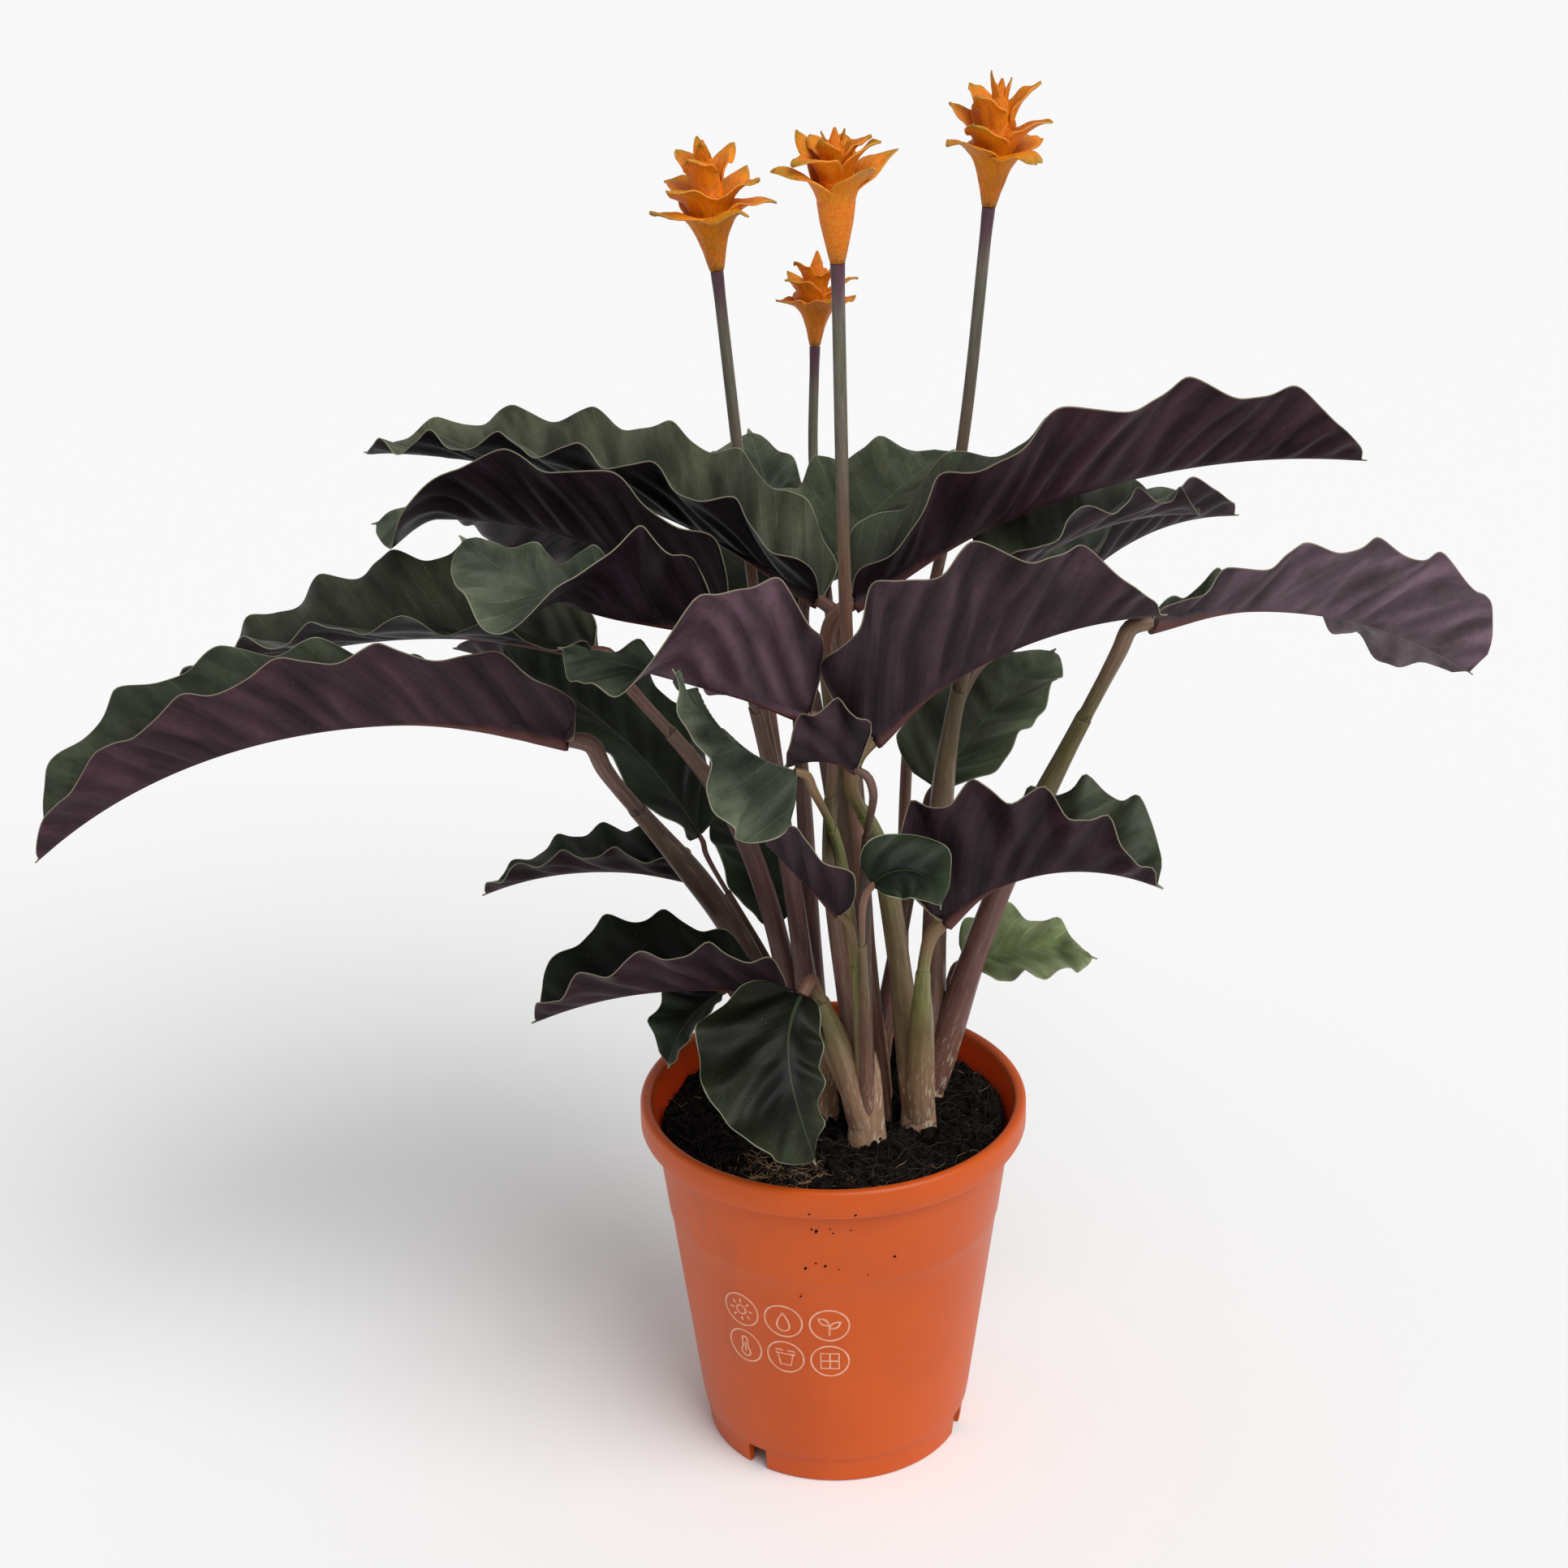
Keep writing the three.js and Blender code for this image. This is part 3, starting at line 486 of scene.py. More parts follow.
def cutNotches(piece):
    # drain notches in the foot ring, by rounded blocks that reach notchDepth above the ground
    p = pot
    foot = bodyRadius(p["footHeight"]) - p["footInset"]
    cutters = []
    for number, turn in enumerate(p["notchAngles"]):
        bpy.ops.mesh.primitive_cube_add(size=1)
        cutter = bpy.context.object
        size = (p["notchLength"] * mm, p["notchWidth"] * mm, 2 * p["notchDepth"] * mm)
        outwards = Matrix.Translation(((foot + 1) * mm, 0, 0))
        spin = Matrix.Rotation(np.radians(turn), 4, "Z") @ outwards
        cutter.matrix_world = spin @ Matrix.Diagonal((*size, 1))
        bevel = cutter.modifiers.new("round", "BEVEL")
        bevel.width = p["notchRound"]
        bevel.segments = 3
        cut = piece.modifiers.new(f"notch{number}", "BOOLEAN")
        cut.operation = "DIFFERENCE"
        cut.object = cutter
        cutters.append(cutter)
    graph = bpy.context.evaluated_depsgraph_get()
    cutMesh = bpy.data.meshes.new_from_object(piece.evaluated_get(graph))
    piece.modifiers.clear()
    piece.data = cutMesh
    for cutter in cutters:
        bpy.data.objects.remove(cutter)
    cutMesh.shade_smooth()
    cutMesh.set_sharp_from_angle(angle=np.radians(p["crease"]))


def makePot():
    # the outline is turned once round the axis; the rings inside the lip are marked for the
    # painted glow of light shining through the wall
    outline = potOutline()
    inside = outline[1:-1]
    angle = np.linspace(0, 2 * np.pi, pot["sides"], endpoint=False)
    radius, height = inside[:, :1], inside[:, 1:]
    rings = np.stack([radius * np.cos(angle), radius * np.sin(angle), height + 0 * angle], -1)
    ends = [[0, 0, outline[0, 1]], [0, 0, outline[-1, 1]]]
    points = np.vstack([rings.reshape(-1, 3), ends])
    lipEnd = int(np.argmax(height)) + pot["lipSteps"] // 2
    paintedGlowInside = np.repeat(ease((np.arange(len(inside)) - lipEnd) / 2), pot["sides"])
    piece = buildMesh("potShell", points, ringFaces(len(inside), pot["sides"]), potSkin,
                      {"paintedGlowInside": np.append(paintedGlowInside, [0, 1])})
    cutNotches(piece)
    return place(piece, "pot_plastic", "pot")


makePot()
print("pot made")

# care signs: six small drawings, each in a ring, in thin printed lines. Sizes are in mm on the
# unrolled wall
signs = {
    "line": 0.62, "ringRadius": 6.9,
    "sunk": 0.05, "proud": 0.1,          # how far the print goes into the wall, and stands out
    "columns": (-33.0, -16.5, 0.0),
    "rows": (75.0, 58.5),                # heights
    "unrolledAt": 66,                    # the height at which a column's angle is measured
    "front": -92.0,                      # the angle round the pot at which columns are 0
}


def ribbon(line, width, closed=False):
    # a flat strip carried along a line drawn on the unrolled wall, as a closed thin bar
    line = np.asarray(line, float)
    if closed:
        direction = unit(np.roll(line, -1, 0) - np.roll(line, 1, 0))
    else:
        direction = unit(np.gradient(line, axis=0))
    side = np.stack([-direction[:, 1], direction[:, 0]], 1) * (width / 2)
    flat = np.stack([line - side, line + side, line + side, line - side], 1)
    height = flat[..., 1]
    reach = bodyRadius(height) + [-signs["sunk"], -signs["sunk"], signs["proud"], signs["proud"]]
    angle = np.radians(signs["front"]) + flat[..., 0] / bodyRadius(signs["unrolledAt"])
    points = np.stack([reach * np.cos(angle), reach * np.sin(angle), height], -1)
    last = (len(line) - 1) * 4
    k = np.arange(4)
    if closed:
        ends = np.stack([last + k, k, (k + 1) % 4, last + (k + 1) % 4], 1)
    else:
        ends = np.stack([k, last + k[::-1]])
    return points.reshape(-1, 3), [gridFaces(len(line), 4, closed=True), ends], {}


def arc(centre, radius, start, end, count):
    angle = np.radians(np.linspace(start, end, count))
    return np.stack([centre[0] + radius * np.cos(angle), centre[1] + radius * np.sin(angle)], 1)


def signDrawings():
    # lines, each with whether it is closed: sun, drop and sprout for the upper row; thermometer,
    # flower pot and window for the lower
    compass = np.radians(np.arange(0, 360, 45))
    rays = [np.array([[np.cos(a), np.sin(a)]]) * [[3.1], [3.8], [4.7]] for a in compass]
    sun = [(arc((0, 0), 1.9, 0, 360, 33)[:-1], True)] + [(ray, False) for ray in rays]
    wave = 2 * np.pi * np.linspace(0, 1, 49)[:-1]
    pointed = np.abs(np.sin(wave / 2)) ** 1.2
    drop = [(np.stack([3.1 * np.sin(wave) * pointed, 4.1 * np.cos(wave) - 0.3], 1), True)]
    u = np.linspace(0, 1, 17)[:, None]
    sprout = [(np.array([[0, -4.6], [0, -2], [0, 0.4]]), False)]
    for side, low in ((1, -1.4), (-1, 0.0)):
        spine = np.array([side * 3.9, 3.0]) * u + [0, low]
        bulge = np.array([-3.0 * side, 3.9]) / 4.9 * 1.15 * np.sin(np.pi * u)
        sprout.append((np.vstack([spine + bulge, (spine - bulge)[-2:0:-1]]), True))
    glass = np.vstack([arc((0, 3.0), 1.1, 0, 180, 12), arc((0, -2.6), 2.0, 125, 415, 32)])
    thermometer = [(glass, True), (np.array([[0, -2.6], [0, 0], [0, 1.6]]), False)]
    box = lambda wide, low, foot, high: (
        np.array([[-foot, low], [foot, low], [wide, high], [-wide, high]], float), True)
    flowerPot = [box(2.9, -3.6, 2.0, 1.4), box(3.6, 1.4, 3.6, 3.0)]
    window = [box(3.3, -3.5, 3.3, 3.5), (np.array([[0, -3.5], [0, 0], [0, 3.5]]), False),
              (np.array([[-3.3, 0], [0, 0], [3.3, 0]]), False)]
    return sun, drop, sprout, thermometer, flowerPot, window


def makeSigns():
    centres = [(across, height) for height in signs["rows"] for across in signs["columns"]]
    width = signs["line"]
    parts = []
    for centre, drawing in zip(centres, signDrawings()):
        parts.append(ribbon(arc(centre, signs["ringRadius"], 0, 360, 65)[:-1], width, True))
        parts += [ribbon(line + np.array(centre), width, closed) for line, closed in drawing]
    points, faceSets, _ = joinParts(parts)
    piece = buildMesh("careSigns", points, faceSets, printSkin, crease=30)
    return place(piece, "pot_plastic")


makeSigns()
print("care signs made")


soil = {
    "level": 127, "rise": 2.4, "highest": 1.5, "slope": (0.03, -0.02),
    "edgeGap": 0.7, "settle": 0.8, "bottom": 0.5,      # over the pot's floor
    "rings": 56, "around": 168,
    "lumps": 2300, "lumpSize": (0.3, 3.4), "speckSize": (0.28, 0.6),
}

# crumbs that stick to the outside of the pot: angle round it, and height
specks = np.array([
    [-97.0, 118.5], [-95.6, 117.8], [-91.2, 118.9], [-84.8, 118.1], [-99.4, 101.0],
    [-96.0, 103.5], [-93.0, 102.4], [-88.6, 100.9], [-90.4, 117.0], [-101.5, 88.0],
    [-79.0, 97.5], [-84.0, 128.0], [-97.0, 128.5], [-70.2, 104.0],
])

darkThread = (colour(18, 13, 11), colour(52, 38, 30))
paleStraw = (colour(98, 74, 50), colour(170, 140, 102))

# threads on the peat, in mm: lift is how steeply they lie, reach the share of the soil that they
# cover, and heap the middle and the spread of a loose pile
fibres = (
    dict(count=900, seed=41, reach=0.98, length=(4, 13), thick=(0.08, 0.22), lift=0.3,
         tones=darkThread),
    dict(count=420, seed=43, reach=0.99, length=(2, 5), thick=(0.12, 0.34), lift=0.5,
         tones=darkThread),
    dict(count=150, seed=42, reach=0.9, length=(5, 14), thick=(0.1, 0.2), lift=0.12,
         tones=paleStraw, heap=(-24, -42, 13, 7)),
    dict(count=50, seed=44, reach=0.92, length=(5, 14), thick=(0.1, 0.2), lift=0.15,
         tones=paleStraw),
)


def soilHeight(x, y):
    # slow bumps from crossed sine waves on a gentle slope
    bumps = 0.5 * np.sin(0.21 * x + 0.6) * np.cos(0.17 * y) + 0.4 * np.sin(0.37 * x - 0.31 * y)
    slope = soil["slope"][0] * x + soil["slope"][1] * y
    return soil["level"] + np.minimum(soil["rise"] * bumps + slope, soil["highest"])


def soilReach(z):
    return bodyRadius(z) - pot["wall"] - soil["edgeGap"]


def crumbly(x, y):
    # the slow bumps, with folded noise in lumps of 9 mm and 3.6 mm and plain noise of 1.7 mm
    spot = np.stack([x, y], -1)
    coarse = np.abs(softNoise(spot, 9, 21)) * 1.9
    fine = np.abs(softNoise(spot, 3.6, 22)) * 1.1
    return soilHeight(x, y) - 1.3 + coarse + fine + 0.35 * softNoise(spot, 1.7, 23)


def makeSoil():
    # rings of points on the crumbly height, then a wall down to the pot's floor
    around = soil["around"]
    share = np.linspace(0.02, 1, soil["rings"])[:, None] ** 0.85
    angle = np.linspace(0, 2 * np.pi, around, endpoint=False)
    reach = soilReach(soil["level"])
    x = reach * share * np.cos(angle)
    y = reach * share * np.sin(angle)
    z = crumbly(x, y) - soil["settle"] * ease((share - 0.93) / 0.07)
    bottom = pot["footHeight"] + soil["bottom"]
    wall = []
    for height, inset in ((110, 0), (60, 0), (bottom + 8, 0), (bottom, 4)):
        edge = soilReach(height) - inset
        wall.append(np.stack([edge * np.cos(angle), edge * np.sin(angle), height + 0 * angle], -1))
    rings = np.concatenate([np.stack([x, y, z], -1), np.array(wall)])
    ends = [[0, 0, float(crumbly(0.0, 0.0))], [0, 0, bottom]]
    points = np.vstack([rings.reshape(-1, 3), ends])
    faceSets = ringFaces(len(rings), around, inward=True)
    piece = buildMesh("soilBed", points, faceSets, peatSkin)
    return place(piece, "peat", "soil")


def lumpBall():
    # the double pyramid of eight faces, each split in four, with its corners on a ball
    axis = np.array([[1, 0, 0], [0, 1, 0], [-1, 0, 0], [0, -1, 0], [0, 0, 1], [0, 0, -1]], float)
    sides = np.array([[0, 1, 4], [1, 2, 4], [2, 3, 4], [3, 0, 4],
                      [1, 0, 5], [2, 1, 5], [3, 2, 5], [0, 3, 5]])
    corners = axis[sides]
    middles = unit(corners + np.roll(corners, -1, 1))
    split = np.array([[0, 3, 5], [3, 1, 4], [5, 4, 2], [3, 4, 5]])
    faces = (np.arange(8)[:, None, None] * 6 + split).reshape(-1, 3)
    loose = np.concatenate([corners, middles], 1).reshape(-1, 3)
    ball, index = np.unique(np.round(loose, 5), axis=0, return_inverse=True)
    return ball, index.reshape(-1)[faces]


def makeCrumbs():
    # small balls all over the peat, pushed out unevenly
    draw = np.random.default_rng(31)
    ball, faces = lumpBall()
    count = soil["lumps"]
    far = np.sqrt(draw.uniform(0, 1, count)) * (soilReach(soil["level"]) - 1.5)
    turn = draw.uniform(0, 2 * np.pi, count)
    x, y = far * np.cos(turn), far * np.sin(turn)
    onSoil = np.stack([x, y, crumbly(x, y) + 0.1], -1)
    size = draw.gamma(1.6, 0.55, count).clip(*soil["lumpSize"])
    way, height = np.radians(specks[:, 0]), specks[:, 1]
    onLip = height > pot["height"] - pot["lipHeight"]
    out = np.where(onLip, pot["lipRadius"] + 0.1, bodyRadius(height) + 0.45)
    onWall = np.stack([out * np.cos(way), out * np.sin(way), height], -1)
    middle = np.vstack([onSoil, onWall])
    size = np.concatenate([size, draw.uniform(*soil["speckSize"], len(specks))])
    total = len(middle)
    stretch = draw.uniform(0.6, 1.35, (total, 1, 3))
    lumpy = draw.uniform(0.72, 1.25, (total, len(ball), 1))
    points = middle[:, None] + ball[None] * stretch * lumpy * size[:, None, None]
    allFaces = (np.arange(total)[:, None, None] * len(ball) + faces[None]).reshape(-1, 3)
    piece = buildMesh("peatCrumbs", points.reshape(-1, 3), [allFaces], peatSkin)
    return place(piece, "peat")


def fibreSet(count, seed, reach, length, thick, lift, tones, heap=None):
    # each fibre is a bent three-sided thread of five rings, thin at both ends
    draw = np.random.default_rng(seed)
    far = np.sqrt(draw.uniform(0, 1, count)) * soilReach(soil["level"]) * reach
    turn = draw.uniform(0, 2 * np.pi, count)
    x, y = far * np.cos(turn), far * np.sin(turn)
    if heap is not None:
        heapX, heapY, spreadX, spreadY = heap
        x = heapX + draw.normal(0, spreadX, count)
        y = heapY + draw.normal(0, spreadY, count)
    long = draw.uniform(*length, count)[:, None]
    heading = draw.uniform(0, 2 * np.pi, count)[:, None]
    tilt = draw.normal(0, lift, count)[:, None]
    bend = draw.normal(0, 0.9, count)[:, None]
    u = np.linspace(-0.5, 0.5, 5)
    way = heading + bend * u
    px = x[:, None] + long * u * np.cos(way)
    py = y[:, None] + long * u * np.sin(way)
    over = np.maximum(np.hypot(px, py) / (soilReach(soil["level"]) - 0.6), 1)
    px, py = px / over, py / over
    pz = crumbly(px, py) + 0.35 + np.abs(long * np.sin(tilt) * (u + 0.5))
    line = np.stack([px, py, pz], -1)
    along = unit(np.gradient(line, axis=1))
    side = unit(np.cross(along, [0.1, 0.2, 1.0]))
    up = np.cross(side, along)
    radius = draw.uniform(*thick, count)[:, None] * np.array([0.3, 1, 1, 0.8, 0.25])
    angle = np.radians([90, 210, 330])[:, None]
    ring = side[:, :, None] * np.cos(angle) + up[:, :, None] * np.sin(angle)
    points = line[:, :, None] + ring * radius[:, :, None, None]
    base = np.arange(count)[:, None, None] * 15
    walls = (base + gridFaces(5, 3, closed=True)).reshape(-1, 4)
    ends = (base + np.array([[0, 1, 2], [14, 13, 12]])).reshape(-1, 3)
    tone = mix(tones[0], tones[1], draw.uniform(0, 1, (count, 1)))
    return points.reshape(-1, 3), [walls, ends], {"tone": opaque(np.repeat(tone, 15, axis=0))}


def makeFibres():
    points, faceSets, marks = joinParts([fibreSet(**kind) for kind in fibres])
    piece = buildMesh("peatFibres", points, faceSets, fibreSkin, marks)
    return place(piece, "peat")


makeSoil()
makeCrumbs()
makeFibres()
print("soil made")


stems = {
    "foot": 100, "plugTop": 133,      # heights of a shoot's lower end and of its stalks' start
    "gap": 0.3,          # between a stalk's end and what it carries
    "neck": 0.58,        # the petiole inside the sheath, in stalk radii
    "sides": 22, "step": 2.0,
    "sheathEnd": 0.80, "closeFrom": 0.56,      # shares of the stalk's length
    "wrap": 0.4, "wrapFrom": 136, "wrapHeight": 62,      # old sheaths thicken its lower end
    "ligule": 0.8,       # how far the sheath's tip runs up one side, in stalk radii
    "groove": 1.2,       # the angle of the sheath's seam
    "stainTop": 172, "stainHeight": 34,      # below this a stalk takes its foot's colour
}

blade = {
    "thick": 0.5, "thickMargin": 0.34,
    "ribDepth": 0.85, "ribHalf": 1.1,          # the rib below the midrib
    "baseHalf": 2.2, "tipHalf": 1.2,           # half widths at the stalk and the tip
    "point": 2.6,                              # length of the drawn-out tip
    "widest": 0.42, "blunt": 0.6,              # for leaves that have none of their own
    "crease": 1.4,                             # radius of the fold in the midrib
    "narrow": 6, "narrowFold": 40,             # a half this narrow folds no steeper than that
    "fullWave": 12,                            # a half this wide has waves of full height
    "shear": 0.35, "stagger": 1.3,             # how the waves slant, and differ left and right
    "scallop": 0.05, "frill": 0.16,            # their share in the outline, and small ones on top
    "wander": 0.35, "vary": 0.28,              # how unevenly they follow each other, and how high
    "row": 1.4, "column": 1.9, "gather": 1.35,     # size of the cells, closer at the midrib
    "veinRelief": 0.05, "veinSlant": 0.72,
    "pleatEvery": 11.5, "pleatRelief": 1.15,       # the soft folds along the side veins
    "bandEvery": 13,                               # the darker bands between them
    "topTint": (1.12, 0.95, 1.08),
}

tones = {     # top in the middle, top at the margin, under
    "deep": ((38, 45, 34), (70, 82, 60), (62, 40, 48)),
    "olive": ((44, 51, 37), (84, 93, 68), (31, 21, 28)),
    "grey": ((54, 66, 52), (104, 118, 92), (40, 27, 35)),
    "fresh": ((54, 66, 46), (90, 104, 76), (52, 35, 43)),
    "violet": ((42, 52, 40), (82, 96, 74), (63, 45, 53)),
    "dark": ((20, 30, 18), (50, 68, 40), (50, 34, 40)),
    "mauve": ((42, 52, 40), (82, 96, 74), (71, 56, 64)),
    "moss": ((30, 37, 24), (74, 88, 54), (50, 34, 40)),
    "bright": ((88, 108, 62), (132, 148, 106), (60, 44, 48)),
}

# Each blade: its shoot and its stalk's radius, the blade's base, its length, its heading and
# rise at base and tip, then for its left and right half the half width, the fold at base and
# tip and, where it has one, its own widest place. turn is the stretch in which the fold
# changes, and waves are height, count and phase. widest is the share of the length at which
# the blade is widest, and blunt how full its ends are. via are points that the stalk passes on
# its way up. tone names the colours, and light scales them above and beneath: painted light
# and shade, each blade made brighter or darker for how lit it is as well as for its own colour.
# Sizes in mm and degrees.
leaves = {
    "left_top": dict(
        shoot="back", stalk=3.6, base=(-3, 22, 318), length=188, heading=(150, 158),
        rise=(25, -6), left=(36, 55, 28), right=(35, 32, 22), waves=(3, 6.6, 1), tone="olive",
        light=(1.4, 1)),
    "left_second": dict(
        shoot="backLeft", stalk=3.4, base=(-36, 29, 314), length=136, heading=(165, 160),
        rise=(30, -14), left=(34, 66, -15), right=(32, -50, 20), waves=(3, 4, 0),
        turn=(0.7, 0.92), tone="grey"),
    "left_third": dict(
        shoot="left", stalk=3.6, base=(-81, 12, 304), length=168, heading=(172, 162),
        rise=(10, -33), left=(32, 30, 28), right=(36, 40, 24), waves=(2.8, 6, 2),
        via=((-32, 14, 236),), tone="olive", light=(0.65, 1)),
    "left_longest": dict(
        shoot="left", stalk=4.5, base=(-86, -30, 289), length=196, heading=(183, 176),
        rise=(16, -42), left=(28, 82, 75, 0.32), right=(36, 22, 58, 0.6), waves=(3, 6.3, 2.75),
        via=((-35, 12, 196),), tone="deep", light=(1, 1.2)),
    "left_inner_upper": dict(
        shoot="left", stalk=3.2, base=(-39, -25, 328), length=88, heading=(204, 150),
        rise=(4, 34), left=(31, 85, -15), right=(22, 50, 15), waves=(3, 4, 0), turn=(0.35, 0.75),
        via=((-16, -2, 240),), tone="grey", light=(0.9, 0.9)),
    "left_inner_lower": dict(
        shoot="front", stalk=3.2, base=(-7, -38, 300), length=84, heading=(196, 160),
        rise=(24, 8), left=(42, 82, 0), right=(19, -15, 5), waves=(3.5, 4, 1), turn=(0.4, 0.8),
        widest=0.38, blunt=0.85, via=((0, -26, 240),), tone="violet", light=(1, 2.5)),
    "front_light": dict(
        shoot="front", stalk=2.4, base=(-11, -50, 285), length=58, heading=(205, 195),
        rise=(24, 66), left=(32, -55, -10), right=(20, -15, 8), waves=(3, 3, 1),
        via=((3, -29, 246),), tone="grey"),
    "front_small": dict(
        shoot="front", stalk=2.2, base=(9, -44, 283), length=24, heading=(160, 195),
        rise=(25, -20), left=(22, 84, 80, 0.35), right=(4, 60, 60), waves=(2, 3, 1),
        via=((12, -33, 250),), tone="violet"),
    "back_centre": dict(
        shoot="back", stalk=3.2, base=(-5, 36, 319), length=92, heading=(60, 50), rise=(24, 8),
        left=(32, 16, 16), right=(24, 15, 15), waves=(3, 4, 0), tone="fresh"),
    "back_left": dict(
        shoot="backLeft", stalk=3, base=(-14, 80, 294), length=72, heading=(105, 110),
        rise=(60, 35), left=(30, 10, 10), right=(15, 8, 8), waves=(3, 4, 0), tone="grey"),
    "right_top": dict(
        shoot="back", stalk=4.2, base=(8, 8, 322), length=188, heading=(15, 10), rise=(31, -8),
        left=(38, 22, 10), right=(38, 66, 64, 0.56), waves=(4, 4.9, -0.2), tone="deep",
        light=(1, 1.15)),
    "right_inner": dict(
        shoot="frontRight", stalk=3.9, base=(14, -32, 288), length=106, heading=(14, 2),
        rise=(42, 2), left=(36, 40, 20), right=(46, 80, 68, 0.34), waves=(4, 4, 0),
        via=((17, -14, 240),), tone="violet", light=(1, 1.1)),
    "right_farthest": dict(
        shoot="right", stalk=4.3, base=(107, -8, 320), length=129, heading=(20, 14),
        rise=(6, -36), left=(30, 30, -30), right=(31, 78, 78), waves=(3, 5.6, -0.3), widest=0.7,
        blunt=0.42, tone="mauve", light=(1, 2.15)),
    "back_right_upper": dict(
        shoot="right", stalk=4.2, base=(59, 23, 325), length=92, heading=(40, 34), rise=(18, -12),
        left=(30, 30, 20), right=(24, 50, 36), waves=(3, 4, 0), via=((41, 12, 264),),
        tone="fresh", light=(1, 1.5)),
    "back_right_lower": dict(
        shoot="right", stalk=2.8, base=(84, 80, 296), length=84, heading=(40, 22), rise=(34, -8),
        left=(28, 20, 10), right=(26, 60, 60), waves=(3, 3, 0),
        via=((41, 24, 262), (52, 38, 286)), tone="grey", light=(1, 1.6)),
    "back_right_inner": dict(
        shoot="back", stalk=2.8, base=(38, 30, 244), length=72, heading=(46, 46), rise=(40, 16),
        left=(26, 20, 20), right=(20, 10, 10), waves=(3, 3, 0), tone="deep", light=(2.8, 1.3)),
    "right_low": dict(
        shoot="frontRight", stalk=3.8, base=(38, -35, 222), length=80, heading=(350, 338),
        rise=(50, -14), left=(34, 30, 36, 0.6), right=(40, 84, 62, 0.34), waves=(3.5, 5.2, -0.5),
        tone="deep", light=(1, 0.75)),
    "right_lowest": dict(
        shoot="right", stalk=2.2, base=(49, 25, 176), length=48, heading=(15, 5), rise=(14, -20),
        left=(21, 22, 10), right=(18, 0, 0), waves=(2.5, 3, 0), tone="bright", light=(1.5, 1.5)),
    "left_low_thin": dict(
        shoot="backLeft", stalk=2, base=(-51, 25, 211), length=79, heading=(172, 166),
        rise=(10, -28), left=(19, 48, 40), right=(22, 22, 15), waves=(1.9, 4.6, 0), tone="dark"),
    "left_low": dict(
        shoot="front", stalk=2.6, base=(-16, -22, 188), length=90, heading=(180, 176),
        rise=(12, -26), left=(30, 58, 45), right=(30, 26, 42, 0.58), waves=(2.2, 4.6, 0),
        tone="dark", light=(0.3, 1.5)),
    "left_lowest": dict(
        shoot="left", stalk=1.6, base=(-40, 4, 175), length=32, heading=(200, 215),
        rise=(-20, -75), left=(6, 10, 10), right=(15, 20, 20), waves=(1.5, 3, 0), tone="dark"),
    "front_over_rim": dict(
        shoot="front", stalk=3.8, base=(-10, -36, 196), length=60, heading=(236, 330),
        rise=(-30, -72), left=(10, -10, 0), right=(30, 8, 8), waves=(3, 4, 0), tone="moss",
        light=(0.38, 1)),
    "back_left_dark": dict(
        shoot="backLeft", stalk=1.5, base=(-47, 25, 228), length=118, heading=(160, 150),
        rise=(60, 0), left=(20, 10, 80), right=(34, 10, 20), waves=(3, 4, 0), turn=(0.5, 1),
        tone="dark"),
    "back_left_small": dict(
        shoot="backLeft", stalk=1.6, base=(-19, 36, 188), length=46, heading=(135, 140),
        rise=(62, 30), left=(14, 10, 10), right=(10, 10, 10), waves=(2, 2, 0), tone="dark"),
    "front_young_left": dict(
        shoot="front", stalk=2.2, base=(3, -42, 229), length=46, heading=(170, 150),
        rise=(45, 38), left=(24, 60, 60), right=(9, 40, 40), waves=(2, 2, 0), tone="violet"),
    "front_young_right": dict(
        shoot="front", stalk=2, base=(14, -54, 246), length=30, heading=(10, -10), rise=(50, -85),
        left=(13, 56, 40), right=(9, -40, -40), waves=(2, 2, 0), tone="dark"),
}


def bladeFrame(leaf, t):
    # heading and rise change evenly along the blade
    heading = np.radians(mix(leaf["heading"][0], leaf["heading"][1], t))
    rise = np.radians(mix(leaf["rise"][0], leaf["rise"][1], t))
    level = np.cos(rise)
    along = np.stack([level * np.cos(heading), level * np.sin(heading), np.sin(rise)], -1)
    left = np.stack([-np.sin(heading), np.cos(heading), 0 * heading], -1)
    return along, left, np.cross(along, left)


def pleat(x):
    # close crests and wide hollows, both rounded
    return 1.15 - 2.2 * (np.sin(x / 2) ** 2 + 0.03) ** 0.65


